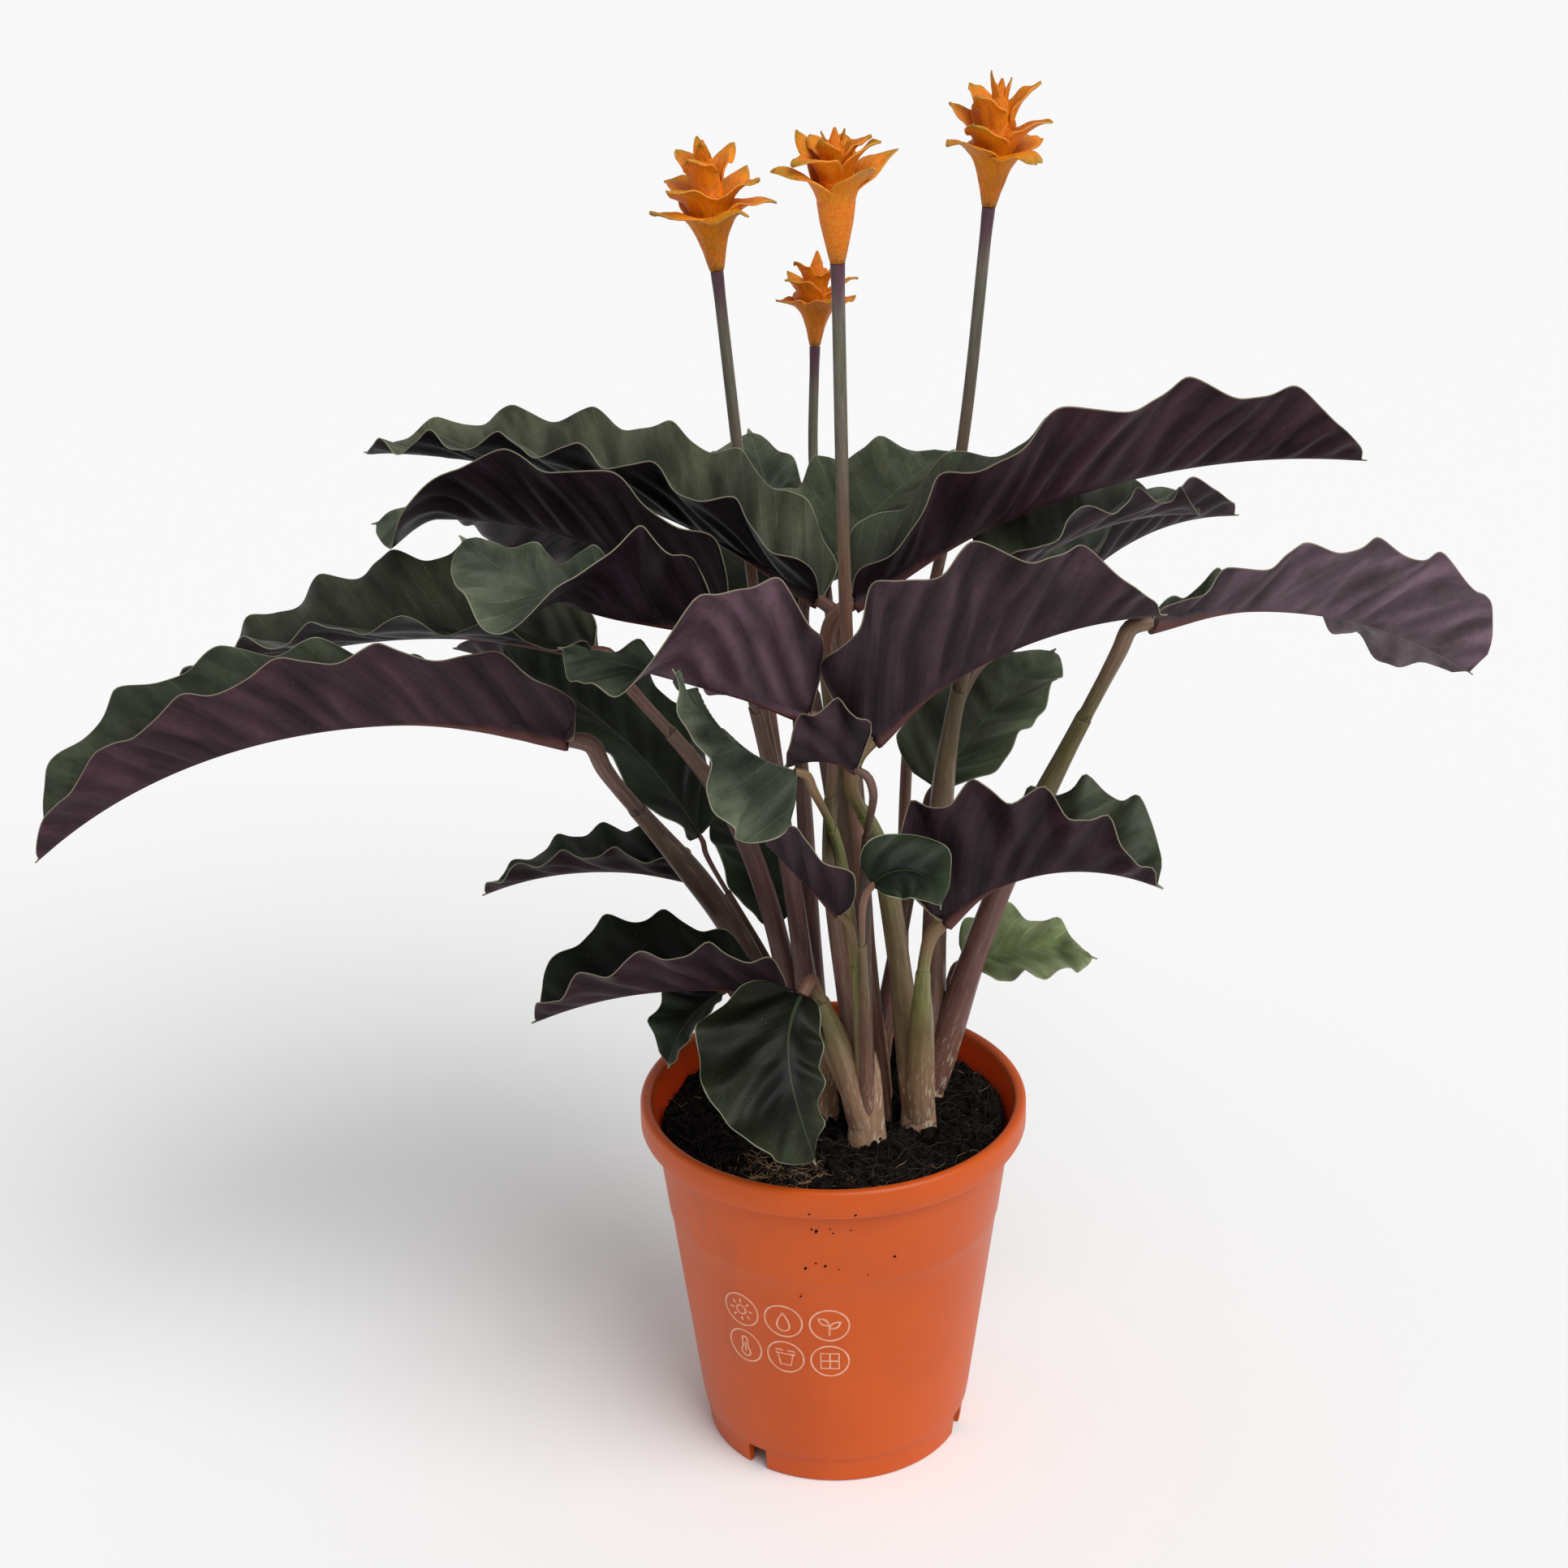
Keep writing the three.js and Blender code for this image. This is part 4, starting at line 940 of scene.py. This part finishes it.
def halfBlade(leaf, half, sign, t, s, centre, frameAt, seed):
    # from midrib (s = 0) to margin (s = 1), along the blade (t = 0 to 1, and on to the point
    # it is drawn out to): the half leans up by its fold, its waves lift it more and more
    # towards the margin, and soft folds and side veins run across it
    b = blade
    width, foldBase, foldTip = half[:3]
    widest = half[3] if len(half) > 3 else leaf.get("widest", b["widest"])
    blunt = leaf.get("blunt", b["blunt"])
    turnStart, turnEnd = leaf.get("turn", (0, 1))
    height, count, phase = leaf["waves"]
    past = np.clip((t - 1) * leaf["length"] / b["point"], 0, 1)     # along the drawn-out point
    t = np.minimum(t, 1)
    # the outline swells from nothing at the base to its widest place and tapers to the tip
    swell = (t / widest) ** (blunt * widest / (1 - widest))
    taper = ((1 - t) / (1 - widest)) ** blunt
    reach = width * swell * taper + b["baseHalf"] * (1 - t) + b["tipHalf"] * t * (1 - 0.85 * past)
    limit = mix(b["narrowFold"], 90, np.minimum(1, reach / b["narrow"]))
    turned = ease((t - turnStart) / (turnEnd - turnStart))
    fold = np.radians(np.clip(mix(foldBase, foldTip, turned), -limit, limit))[:, None]
    offset = 0 if sign > 0 else b["stagger"]
    tt, ss, wide = t[:, None], s[None, :], reach[:, None]
    middle = np.stack([tt * leaf["length"], 0 * tt], -1)
    wander = b["wander"] * softNoise(middle, 60, seed + 7 * sign)
    wave = pleat(2 * np.pi * (count * tt - b["shear"] * ss) + phase + offset + wander)
    out = wide * ss * (1 + b["scallop"] * wave * ss ** 2)
    fullness = np.minimum(1, wide / b["fullWave"])
    vary = 1 + b["vary"] * softNoise(middle, 42, seed + sign)
    lift = height * fullness * ss ** 1.6 * wave * vary
    small = np.sin(2 * np.pi * (count * 2.3 * tt - 0.8 * ss) + phase * 2 + seed)
    lift = lift + b["frill"] * height * fullness * ss ** 4 * small
    vein = tt * leaf["length"] - b["veinSlant"] * out
    spot = np.stack([vein, 0.4 * out], -1)
    turnOver = 2 * np.pi * (vein + 2.4 * softNoise(spot, 38, seed + 11)) / b["pleatEvery"]
    deep = (0.7 + 0.3 * softNoise(spot, 50, seed + 12)) * b["pleatRelief"]
    lift = lift + deep * np.sin(turnOver) * ease(out / 7) * ease((1.15 - ss) / 0.7) * fullness
    ridge = np.abs(np.sin(np.pi * vein / leafFinish["veinSpacing"])) - 0.6
    lift = lift - b["veinRelief"] * ridge * ease(out / 3) * ease((wide - out) / 2.5)
    r = b["crease"]
    flat = out * np.cos(fold) + (1 - np.cos(fold)) * r * 0.5 * np.tanh(out / r)
    raised = (np.sqrt(out ** 2 + r ** 2) - r) * np.sin(fold)
    _, left, up = frameAt
    sideways = sign * (flat - lift * np.sin(fold))
    upward = raised + lift * np.cos(fold)
    points = centre[:, None] + left[:, None] * sideways[..., None]
    points = points + up[:, None] * upward[..., None]
    return points, vein, sign * out, wide * (1 - ss), turnOver + 0 * out


def bladeTone(leaf, along, vein, out, edge, turnOver, cloud, seed):
    # above, the middle's tone goes over into the margin's and the tip's, with slanting bands
    b = blade
    topMiddle, topEdge, under = [colour(*c) for c in tones[leaf["tone"]]]
    span = np.abs(out) + edge
    towardsEdge = ease(1.2 * np.abs(out) / np.maximum(span, 1) - 0.2)
    share = 0.5 * towardsEdge + 0.3 * ease((along - 0.6) / 0.4) + 0.25 * cloud + 0.05
    share = np.clip(share, 0, 1)
    band = 0.5 + 0.5 * np.sin(2 * np.pi * vein / b["bandEvery"] + 0.8 * cloud + seed)
    banded = 1 - 0.34 * band * (1 - share)
    topTone = mix(topMiddle, topEdge, share[..., None]) * banded[..., None] * b["topTint"]
    shade = 0.6 + 0.4 * ease(along / 0.45)      # painted shade: the underside is darkest near the stalk and painted light and shade on the soft folds, palest in their hollows
    paintedFoldShade = 1 - 0.3 * np.sin(turnOver) * ease(np.abs(out) / 6)      # and palest in its hollows
    underTone = under * ((0.84 + 0.26 * share + 0.1 * cloud) * shade * paintedFoldShade)[..., None]
    # painted light and shade: each blade's tones are scaled brighter or darker above and beneath
    # for how lit it is
    above, beneath = leaf.get("light", (1, 1))
    return opaque(np.clip(np.stack([topTone * above, underTone * beneath]), 0, 1))


def makeBlade(name, leaf, seed):
    # two halves on one midrib, which stands out below as a rib that thins towards the tip
    b = blade
    length = leaf["length"]
    t = np.linspace(0, 1 + b["point"] / length, int(length / b["row"]) + 12)
    frameAt = bladeFrame(leaf, t)
    steps = bladeFrame(leaf, (t[1:] + t[:-1]) / 2)[0] * (length * (t[1] - t[0]))
    centre = np.array(leaf["base"], float) + np.vstack([[0, 0, 0], np.cumsum(steps, 0)])
    halves = []
    for key, sign in (("right", -1), ("left", 1)):
        cols = int(leaf[key][0] / b["column"]) + 6
        s = np.concatenate([np.linspace(0, 1, cols) ** b["gather"] * 0.98, [1.0]])
        halves.append(halfBlade(leaf, leaf[key], sign, t, s, centre, frameAt, seed))
    joined = [np.concatenate([right[:, :0:-1], left], 1) for right, left in zip(*halves)]
    grid, vein, out, edge, turnOver = joined
    along = np.broadcast_to(t[:, None], out.shape)
    cloud = softNoise(grid, 34, seed + 3)
    tone = bladeTone(leaf, along, vein, out, edge, turnOver, cloud, seed)
    edge = np.minimum(edge, np.maximum(1 - along, 0) * length + 0.3)
    root = leaf["stalk"] * stems["neck"]
    ribHalf = mix(root, b["ribHalf"], ease(along / 0.4)) * (1 - 0.5 * ease(along))
    ribDepth = mix(root * 1.5, b["ribDepth"], ease(along / 0.3)) * (1 - 0.8 * ease(along))
    spot = np.stack([vein, out / ribHalf, edge], -1).reshape(-1, 3)
    rib = ribDepth * np.sqrt(np.maximum(1 - (out / ribHalf) ** 2, 0))
    thick = mix(b["thickMargin"], b["thick"], ease(edge / 3))
    points, faceSets, marks = sheet(grid, thick, {"spot": spot})
    count = grid.shape[0] * grid.shape[1]
    downwards = unit(points[count:] - points[:count])
    points[count:] += downwards * rib.reshape(-1, 1)
    marks["tone"] = tone
    piece = buildMesh(f"blade_{name}", points, faceSets, leafBlade, marks)
    return place(piece, "leaf", f"leaf_{name}")


for number, (name, leaf) in enumerate(leaves.items()):
    makeBlade(name, leaf, 100 + number)
print("blades made:", len(leaves))


shootSides = 36

shoots = {
    "backLeft": dict(foot=(-5, 20), radius=6.5),
    "left": dict(foot=(-5, -2), radius=7),
    "front": dict(foot=(12, -18), radius=7),
    "frontRight": dict(foot=(31, -7), radius=6.5),
    "right": dict(foot=(35, 15), radius=6.5),
    "back": dict(foot=(15, 11), radius=7),
}

stalkTones = {     # foot, sheath, sheath's top, neck
    "beige": ((172, 138, 112), (142, 116, 90), (126, 116, 80), (112, 80, 66)),
    "purple": ((136, 98, 86), (104, 72, 70), (104, 80, 70), (112, 78, 70)),
    "olive": ((166, 134, 106), (128, 108, 76), (122, 122, 72), (120, 96, 66)),
    "dusky": ((132, 100, 86), (86, 66, 58), (84, 66, 56), (104, 76, 68)),
    "ruddy": ((136, 98, 86), (116, 80, 74), (104, 96, 60), (120, 96, 76)),
    "brown": ((146, 110, 92), (112, 82, 70), (108, 92, 68), (122, 86, 72)),
}

stalkLooks = {
    "left_longest": "dusky", "left_third": "purple", "right_top": "brown",
    "right_inner": "olive", "right_low": "olive", "front_over_rim": "beige",
    "left_low": "beige", "front_young_left": "olive", "front_light": "olive",
    "left_inner_lower": "brown", "right_farthest": "ruddy", "back_right_upper": "brown",
    "front_small": "dusky", "front_young_right": "brown",
}


def stalkLine(leaf, foot):
    # up from the shoot's foot, over a knee, and into the blade's base along its midrib
    along = bladeFrame(leaf, np.array(0.0))[0]
    start = np.array([foot[0], foot[1], stems["plugTop"] - 4.0])
    end = np.array(leaf["base"], float) - along * 3 * stems["gap"]
    neck = end - along * 1.3 * leaf["stalk"]
    knee = neck - along * leaf["stalk"]
    knee[2] -= 1.8 * leaf["stalk"]
    halfway = start + (knee - start) * np.array([0.42, 0.42, 0.5])
    via = [np.array(p, float) for p in leaf.get("via", ())] or [halfway]
    count = int(np.linalg.norm(end - start) / stems["step"]) + 12
    points = smoothLine([start, *via, knee, neck, end + along * 1.6], count)
    return np.vstack([start - [0, 0, 12], start - [0, 0, 5], points])


def toneAlong(line, share, looks):
    # the sheath's colour goes over into its top's and then into the neck's, and low marks the
    # stretch near the soil
    foot, sheath, top, neck = [colour(*c) for c in looks]
    low = ease((stems["stainTop"] - line[:, 2]) / stems["stainHeight"])[:, None]
    tone = mix(sheath, top, ease((share - 0.45) / 0.27)[:, None])
    tone = mix(tone, neck, ease((share - 0.80) / 0.12)[:, None])
    return mix(tone, foot, low), low[:, 0]


def dressTube(part, tone, low, sides):
    # gives each ring of a tube its tone, and the two end points those of their rings
    points, faceSets, marks = part
    ringsAndEnds = np.append(np.repeat(np.arange(len(tone)), sides), [0, len(tone) - 1])
    marks["tone"] = opaque(tone[ringsAndEnds])
    marks["low"] = low[ringsAndEnds]
    return points, faceSets, marks


def makeRod(leaf, line, share, tone, low, seed):
    # the petiole: a thin rod all the way, a little swollen under the blade
    ridges = lambda angle: 1 + 0.02 * np.cos(7 * angle + seed) + 0 * share[:, None]
    pulvinus = ease((share - 0.86) / 0.1) * (1 - ease((share - 0.97) / 0.03))
    thin = leaf["stalk"] * stems["neck"] * (1 + 0.16 * pulvinus)
    part = tube(line, thin, stems["sides"], ridges)
    return dressTube(part, tone, low, stems["sides"]), thin


def makeSheath(leaf, line, share, tone, low, thin, seed):
    # wraps the petiole from the foot to sheathEnd, where it closes in on it, turns inside, and
    # runs up to a point on the side away from its seam
    sides, endShare = stems["sides"], stems["sheathEnd"]
    keep = share <= endShare
    outer = line[keep]
    count = len(outer)
    lead = outer[-1] - outer[-2]
    wallLine = np.vstack([outer, outer[-1] + lead * 0.2, outer[-1] + lead * 0.1, outer[-3]])
    pace = 1 - (1 - share[keep]) ** (2 / 3)
    wrapped = 1 - ease((outer[:, 2] - stems["wrapFrom"]) / stems["wrapHeight"])
    full = leaf["stalk"] * (1.08 - 0.16 * pace) * (1 + stems["wrap"] * wrapped)
    closing = ease((share[keep] - stems["closeFrom"]) / (endShare - stems["closeFrom"]))
    radii = mix(full, np.minimum(thin[keep] + 0.45, full), closing)
    radii = np.concatenate([radii, radii[-1] - [0.08, 0.3, 0.42]])
    seam = stems["groove"] + seed

    def groove(angle):
        away = np.angle(np.exp(1j * (angle - seam)))
        shape = 1 - 0.09 * np.exp(-(away / 0.22) ** 2) + 0.012 * np.cos(9 * angle + seed)
        return shape * np.ones((len(wallLine), 1))

    points, faceSets, marks = tube(wallLine, radii, sides, groove)
    angle = np.linspace(0, 2 * np.pi, sides, endpoint=False)
    reachUp = np.maximum(np.cos(angle - seam + np.pi), 0) ** 3 * stems["ligule"] * leaf["stalk"]
    weight = np.zeros(len(wallLine))
    weight[:count] = ease((share[keep] - endShare + 0.06) / 0.06)
    weight[count:count + 2] = 1
    shift = weight[:, None, None] * reachUp[None, :, None] * unit(lead)
    points[:len(wallLine) * sides] += shift.reshape(-1, 3)
    # painted shade: the rings turned inside the sheath are darkened to half; the lip ring is a
    # little lighter
    last = tone[keep][-1]
    wallTone = np.vstack([tone[keep], last * [1.2, 1.2, 1.1], last * 0.5, last * 0.5])
    wallLow = np.concatenate([low[keep], np.zeros(3)])
    return dressTube((points, faceSets, marks), np.clip(wallTone, 0, 1), wallLow, sides)


def makeStalk(leaf, foot, looks, seed):
    line = stalkLine(leaf, foot)
    walked = walkedAlong(line)
    share = walked / walked[-1]
    tone, low = toneAlong(line, share, looks)
    rod, thin = makeRod(leaf, line, share, tone, low, seed)
    return [rod, makeSheath(leaf, line, share, tone, low, thin, seed)]


def makeShoot(name, shoot, seed):
    # a short upright foot of wrapped sheaths, and the leaf stalks that leave it
    x, y = shoot["foot"]
    height = np.array([stems["foot"], 118, 124, 129, 134, 140, 147, 155, 162, 165.0])
    bulge = np.array([0.95, 1.04, 1.05, 1.0, 0.94, 0.88, 0.82, 0.72, 0.5, 0.2]) * shoot["radius"]
    line = np.stack([x + 0 * height, y + 0 * height, height], 1)
    lobes = lambda angle: (1 + 0.05 * np.cos(3 * angle + seed) + 0.02 * np.cos(8 * angle)
                           + 0 * height[:, None])
    tone, low = toneAlong(line, 0 * height, stalkTones["beige"])
    parts = [dressTube(tube(line, bulge, shootSides, lobes), tone, low, shootSides)]
    for number, (leafName, leaf) in enumerate(leaves.items()):
        if leaf["shoot"] == name:
            looks = stalkTones[stalkLooks.get(leafName, "purple")]
            parts += makeStalk(leaf, shoot["foot"], looks, seed + number)
    points, faceSets, marks = joinParts(parts)
    piece = buildMesh(f"shootStems_{name}", points, faceSets, stalkSkin, marks, crease=50)
    return place(piece, "leaf_stalk", f"shoot_{name}")


for number, (name, shoot) in enumerate(shoots.items()):
    makeShoot(name, shoot, number)
print("shoots made:", len(shoots))


# Tiers of bracts from the bottom: count, height and radius of the root, length, half width,
# lean from upright at root and tip, how late the lean comes, and the tier's turn.
openHead = (
    (4, 1, 2, 31, 10.5, (16, 150), 3, 0),
    (4, 6, 2.8, 30, 9.5, (14, 130), 3.2, 40),
    (3, 19, 4, 21, 7.5, (6, 100), 2.6, 15),
    (2, 26, 2.2, 14, 5, (0, 24), 2, 70),
)
tallHead = (
    (4, 1, 2, 38, 10, (10, 128), 4, 0),
    (4, 13, 2.6, 28, 8.5, (8, 115), 3.2, 40),
    (3, 22, 3, 18, 6.5, (4, 80), 2.4, 15),
    (2, 27, 2, 12, 4.5, (0, 24), 2, 70),
)
smallHead = (
    (4, 1, 2, 30, 10.5, (16, 140), 3, 0),
    (3, 6, 2.8, 29, 9.5, (12, 125), 3.2, 50),
    (3, 18, 4, 20, 7, (4, 95), 2.6, 15),
    (2, 25, 2.2, 12, 4.5, (0, 24), 2, 70),
)

# Each flower stalk: its foot, the points that it passes, its top and its radius; then its
# head's size against the tiers above, and the head's turn.
scapes = {
    "left": dict(
        foot=(-6, 42), via=((-17, 56, 223), (-27, 66, 308), (-31, 80, 344)),
        top=(-38, 87, 418), radius=2.2, size=1.13, turn=20, tiers=openHead),
    "middle": dict(
        foot=(19, -3), via=((9, -1, 249), (6, -3, 318)),
        top=(4, -8, 443), radius=2.3, size=1.07, turn=118, tiers=tallHead),
    "right": dict(
        foot=(26, 42), via=((30, 66, 258), (47, 64, 355)),
        top=(56, 66, 444), radius=2.2, size=1.07, turn=122, tiers=openHead),
    "back": dict(
        foot=(8, 46), via=((2, 86, 270), (-3, 104, 318), (-5, 114, 339)),
        top=(-4, 122, 381), radius=1.9, size=0.86, turn=200, tiers=smallHead),
}

scapeTones = {     # by height
    "foot": (96, 64, 52), "middle": (132, 96, 80), "upper": (104, 100, 86), "top": (88, 54, 70),
}
scapeSides = 20

bract = {
    "rows": 30, "cols": 17, "steps": 200, "thick": 0.5, "cling": 2.5,
    "hug": 0.5,           # share of the length that hugs the funnel before it flares
    "crumple": 0.7, "crease": 0.3, "keel": 0.5,      # mm
    "inner": (248, 150, 0), "outer": (234, 128, 2), "tip": (160, 136, 24), "foot": (190, 116, 30),
}

# the head's core: radius and height
core = np.array([(0.5, -0.2), (2.3, 0), (2.8, 2), (3.7, 6), (5, 12), (5.8, 18), (4.6, 27),
                 (2.6, 34), (0.4, 40)])
coreSides = 24


def scapeLine(scape):
    x, y = scape["foot"]
    points = smoothLine([(x, y, stems["plugTop"]), *scape["via"], scape["top"]], 90)
    return np.vstack([[x, y, stems["foot"]], [x, y, 118], points])


def makeScape(name, scape):
    line = scapeLine(scape)
    walked = walkedAlong(line)
    share = walked / walked[-1]
    foot, middle, upper, top = [colour(*tone) for tone in scapeTones.values()]
    tone = mix(foot, middle, ease(share / 0.5)[:, None])
    tone = mix(tone, upper, ease((share - 0.62) / 0.26)[:, None])
    tone = mix(tone, top, ease((share - 0.93) / 0.06)[:, None])
    low = ease((160 - line[:, 2]) / 30)
    radii = scape["radius"] * (1.04 - 0.1 * share + 0.12 * ease((share - 0.97) / 0.03))
    ridges = lambda angle: 1 + 0.025 * np.cos(6 * angle) + 0 * share[:, None]
    stalk = dressTube(tube(line, radii, scapeSides, ridges), tone, low, scapeSides)
    piece = buildMesh(f"flowerStem_{name}", *stalk[:2], scapeSkin, stalk[2], crease=50)
    return place(piece, "flower_stalk", f"flower_stalk_{name}")


def bractLine(tier, draw):
    # the middle line of a bract, as radii and heights: it rises beside the funnel and then
    # leans out more and more, though some tips turn up again
    _, z, r, length, _, lean, bend, _ = tier
    fine = np.linspace(0, 1, bract["steps"] + 1)
    step = length * (1 + draw.normal(0, 0.05)) / bract["steps"]
    flare = ((fine[1:] + fine[:-1]) / 2) ** (bend + draw.normal(0, 0.15))
    flare = flare - draw.uniform(0, 0.5) * ease((fine[1:] - 0.82) / 0.18)
    tilt = np.radians(mix(lean[0], lean[1] + draw.normal(0, 17), flare))
    v = np.linspace(0, 1, bract["rows"])
    far, high = [np.interp(v, fine, start + np.concatenate([[0], np.cumsum(part)]) * step)
                 for start, part in ((r, np.sin(tilt)), (z, np.cos(tilt)))]
    return far[:, None], high[:, None]


def makeBract(tier, angle, seed):
    # the sides wrap round the axis, widest at the lip, and the free part rolls, crumples and
    # twists; hug is 1 where the bract lies against the funnel
    length, half = tier[3:5]
    draw = np.random.default_rng(seed)
    far, high = bractLine(tier, draw)
    v = np.linspace(0, 1, bract["rows"])[:, None]
    s = np.linspace(-1, 1, bract["cols"])[None, :]
    side, outwards = np.sign(s), np.abs(s)
    narrowing = np.maximum(1 - np.maximum((v - 0.5) / 0.5, 0) ** 2.2, 0)
    across = half * 1.08 * (0.4 + 0.6 * ease(v / bract["hug"])) * narrowing + 0.25
    twist = draw.normal(0, 0.12) * v ** 2
    hug = 1 - ease((v - 0.45) / 0.35)
    spread = np.radians(angle) + twist - s * across / (far + bract["cling"])
    cup = across * outwards ** 1.6 * mix(draw.uniform(-0.4, 0.15), 0.1, hug)
    phase = draw.uniform(0, 6.3)
    frill = np.sin(13 * v + 3 * side + phase) + 0.6 * np.sin(27 * v - 4 * side + 2 * phase)
    frill = bract["crumple"] * frill * outwards ** 3
    frill = frill * ease((v - 0.22) / 0.3) * np.minimum(1, across / 4)
    crumpled = softNoise(np.stack([v * 14 + 0 * s, s * 5 + 0 * v], -1), 5, seed)
    crease = bract["crease"] * crumpled * (1 - 0.5 * hug)
    keel = bract["keel"] * np.exp(-(s / 0.14) ** 2) * ease(v / 0.3) * ease((1 - v) / 0.2)
    out = far - keel * hug + (0.35 * frill + crease) * hug
    up = high + cup + (frill + crease - keel) * (1 - hug) + 0.4 * frill * hug
    grid = np.stack([out * np.cos(spread), out * np.sin(spread), up], -1)
    inner, outer, tip, foot = [colour(*bract[key]) for key in ("inner", "outer", "tip", "foot")]
    body = mix(outer, inner, draw.uniform(0.1, 0.9))
    tone = mix(foot, body, ease(v / 0.4)[..., None] + 0 * grid)
    green = 0.8 * ease((v - 0.8) / 0.2)
    green = green + 0.07 * ease((outwards - 0.5) / 0.5) * ease((v - 0.4) / 0.3)
    patch = 0.35 * ease(softNoise(grid, 9, seed + 5) - 0.2) * ease((v - 0.3) / 0.3)
    tone = mix(tone, tip, np.clip(green + patch, 0, 0.9)[..., None])
    spot = np.stack([s * across + seed, v * length + 0 * s, across * (1 - outwards)], -1)
    points, faceSets, marks = sheet(grid, bract["thick"], {"spot": spot.reshape(-1, 3)})
    marks["tone"] = opaque(np.clip(np.stack([tone, tone]), 0, 1))
    return points, faceSets, marks


def makeCore():
    radius, height = core.T
    line = np.stack([0 * height, 0 * height, height], 1)
    foot, outer = colour(*bract["foot"]), colour(*bract["outer"])
    tone = mix(foot, outer, ease(height / 8)[:, None])
    part = tube(line, radius, coreSides)
    points, faceSets, marks = dressTube(part, tone, 0 * height, coreSides)
    spot = marks["spot"] + [0, 0, 9]      # away from the rim, which is pale
    return points, faceSets, {"tone": marks["tone"], "under": np.zeros(len(points)), "spot": spot}


def makeHead(name, scape, seed):
    # tiers of bracts round a core, set on the stalk's end and turned from upright to its way
    parts = [makeCore()]
    for level, tier in enumerate(scape["tiers"]):
        count, tierTurn = tier[0], tier[-1]
        for k in range(count):
            angle = scape["turn"] + tierTurn + 360 * k / count + 18 * np.sin(seed + 5 * k + level)
            parts.append(makeBract(tier, angle, seed + 10 * level + k))
    points, faceSets, marks = joinParts(parts)
    line = scapeLine(scape)
    along = unit(line[-1] - line[-8])
    axis = np.cross([0, 0, 1], along)
    sine, cosine = np.linalg.norm(axis), along[2]
    x, y, z = axis / max(sine, 1e-9)
    skew = np.array([[0, -z, y], [z, 0, -x], [-y, x, 0]])
    spin = np.eye(3) + sine * skew + (1 - cosine) * skew @ skew
    seat = np.array(scape["top"], float) + along * stems["gap"]
    points = points * scape["size"] @ spin.T + seat
    piece = buildMesh(f"flowerHead_{name}", points, faceSets, bractSkin, marks)
    return place(piece, "bract", f"flower_head_{name}")


for number, (name, scape) in enumerate(scapes.items()):
    makeScape(name, scape)
    makeHead(name, scape, 300 + 50 * number)
print("flowers made:", len(scapes))


studio = {
    "sky": 0.48, "backdrop": 0.95,
    "floorSize": 30.0, "floorTone": 0.92, "floorDrop": 0.2,      # metres, share and mm
    "sunHeading": -48, "sunHeight": 50, "sun": 2.3, "sunSpread": 46,
}

view = {      # mm and degrees
    "distance": 902, "height": 657, "pitch": 23.81, "yaw": -1.01, "roll": -0.96,
    "lens": 65.4, "sensor": 36,
}


def makeFloor():
    half = studio["floorSize"] / mm / 2
    points = np.array([[-1, -1, 0], [1, -1, 0], [1, 1, 0], [-1, 1, 0]]) * half
    pale = Finish("paleFloor", 0.9).done((*[studio["floorTone"]] * 3, 1))
    points = points - [0, 0, studio["floorDrop"]]
    floor = buildMesh("floor", points, [np.array([[0, 1, 2, 3]])], pale)


def makeSun():
    # a wide soft sun, so that the floor is lit evenly
    data = bpy.data.lights.new("sunLight", "SUN")
    data.energy = studio["sun"]
    data.angle = np.radians(studio["sunSpread"])
    light = bpy.data.objects.new("sunLight", data)
    bpy.context.scene.collection.objects.link(light)
    heading, height = np.radians([studio["sunHeading"], studio["sunHeight"]])
    level = np.cos(height)
    back = np.array([level * np.cos(heading), level * np.sin(heading), np.sin(height)])
    side = unit(np.cross([0, 0, 1], back))
    light.matrix_world = Matrix(np.stack([side, np.cross(back, side), back], 1).tolist()).to_4x4()


def makeWorld():
    # even white light all round; the backdrop itself is seen a little brighter
    world = bpy.data.worlds.new("sky")
    world.use_nodes = True
    tree = world.node_tree
    light = tree.nodes["Background"]
    light.inputs["Color"].default_value = (1, 1, 1, 1)
    seen = tree.nodes.new("ShaderNodeLightPath").outputs["Is Camera Ray"]
    strength = tree.nodes.new("ShaderNodeMapRange")
    strength.inputs["To Min"].default_value = studio["sky"]
    strength.inputs["To Max"].default_value = studio["backdrop"]
    tree.links.new(seen, strength.inputs["Value"])
    tree.links.new(strength.outputs["Result"], light.inputs["Strength"])
    bpy.context.scene.world = world


def makeCamera():
    v = view
    pitch, yaw, roll = np.radians([v["pitch"], v["yaw"], v["roll"]])
    forward = np.array([np.sin(yaw) * np.cos(pitch), np.cos(yaw) * np.cos(pitch), -np.sin(pitch)])
    level = np.array([np.cos(yaw), -np.sin(yaw), 0])
    above = np.cross(level, forward)
    right = level * np.cos(roll) + above * np.sin(roll)
    up = above * np.cos(roll) - level * np.sin(roll)
    data = bpy.data.cameras.new("camera")
    data.lens = v["lens"]
    data.sensor_width = v["sensor"]
    camera = bpy.data.objects.new("camera", data)
    bpy.context.scene.collection.objects.link(camera)
    turn = Matrix(np.stack([right, up, -forward], 1).tolist()).to_4x4()
    camera.matrix_world = Matrix.Translation((0, -v["distance"] * mm, v["height"] * mm)) @ turn
    bpy.context.scene.camera = camera


makeFloor()
makeSun()
makeWorld()
makeCamera()
bpy.context.scene.view_settings.view_transform = "Standard"
print("studio made")
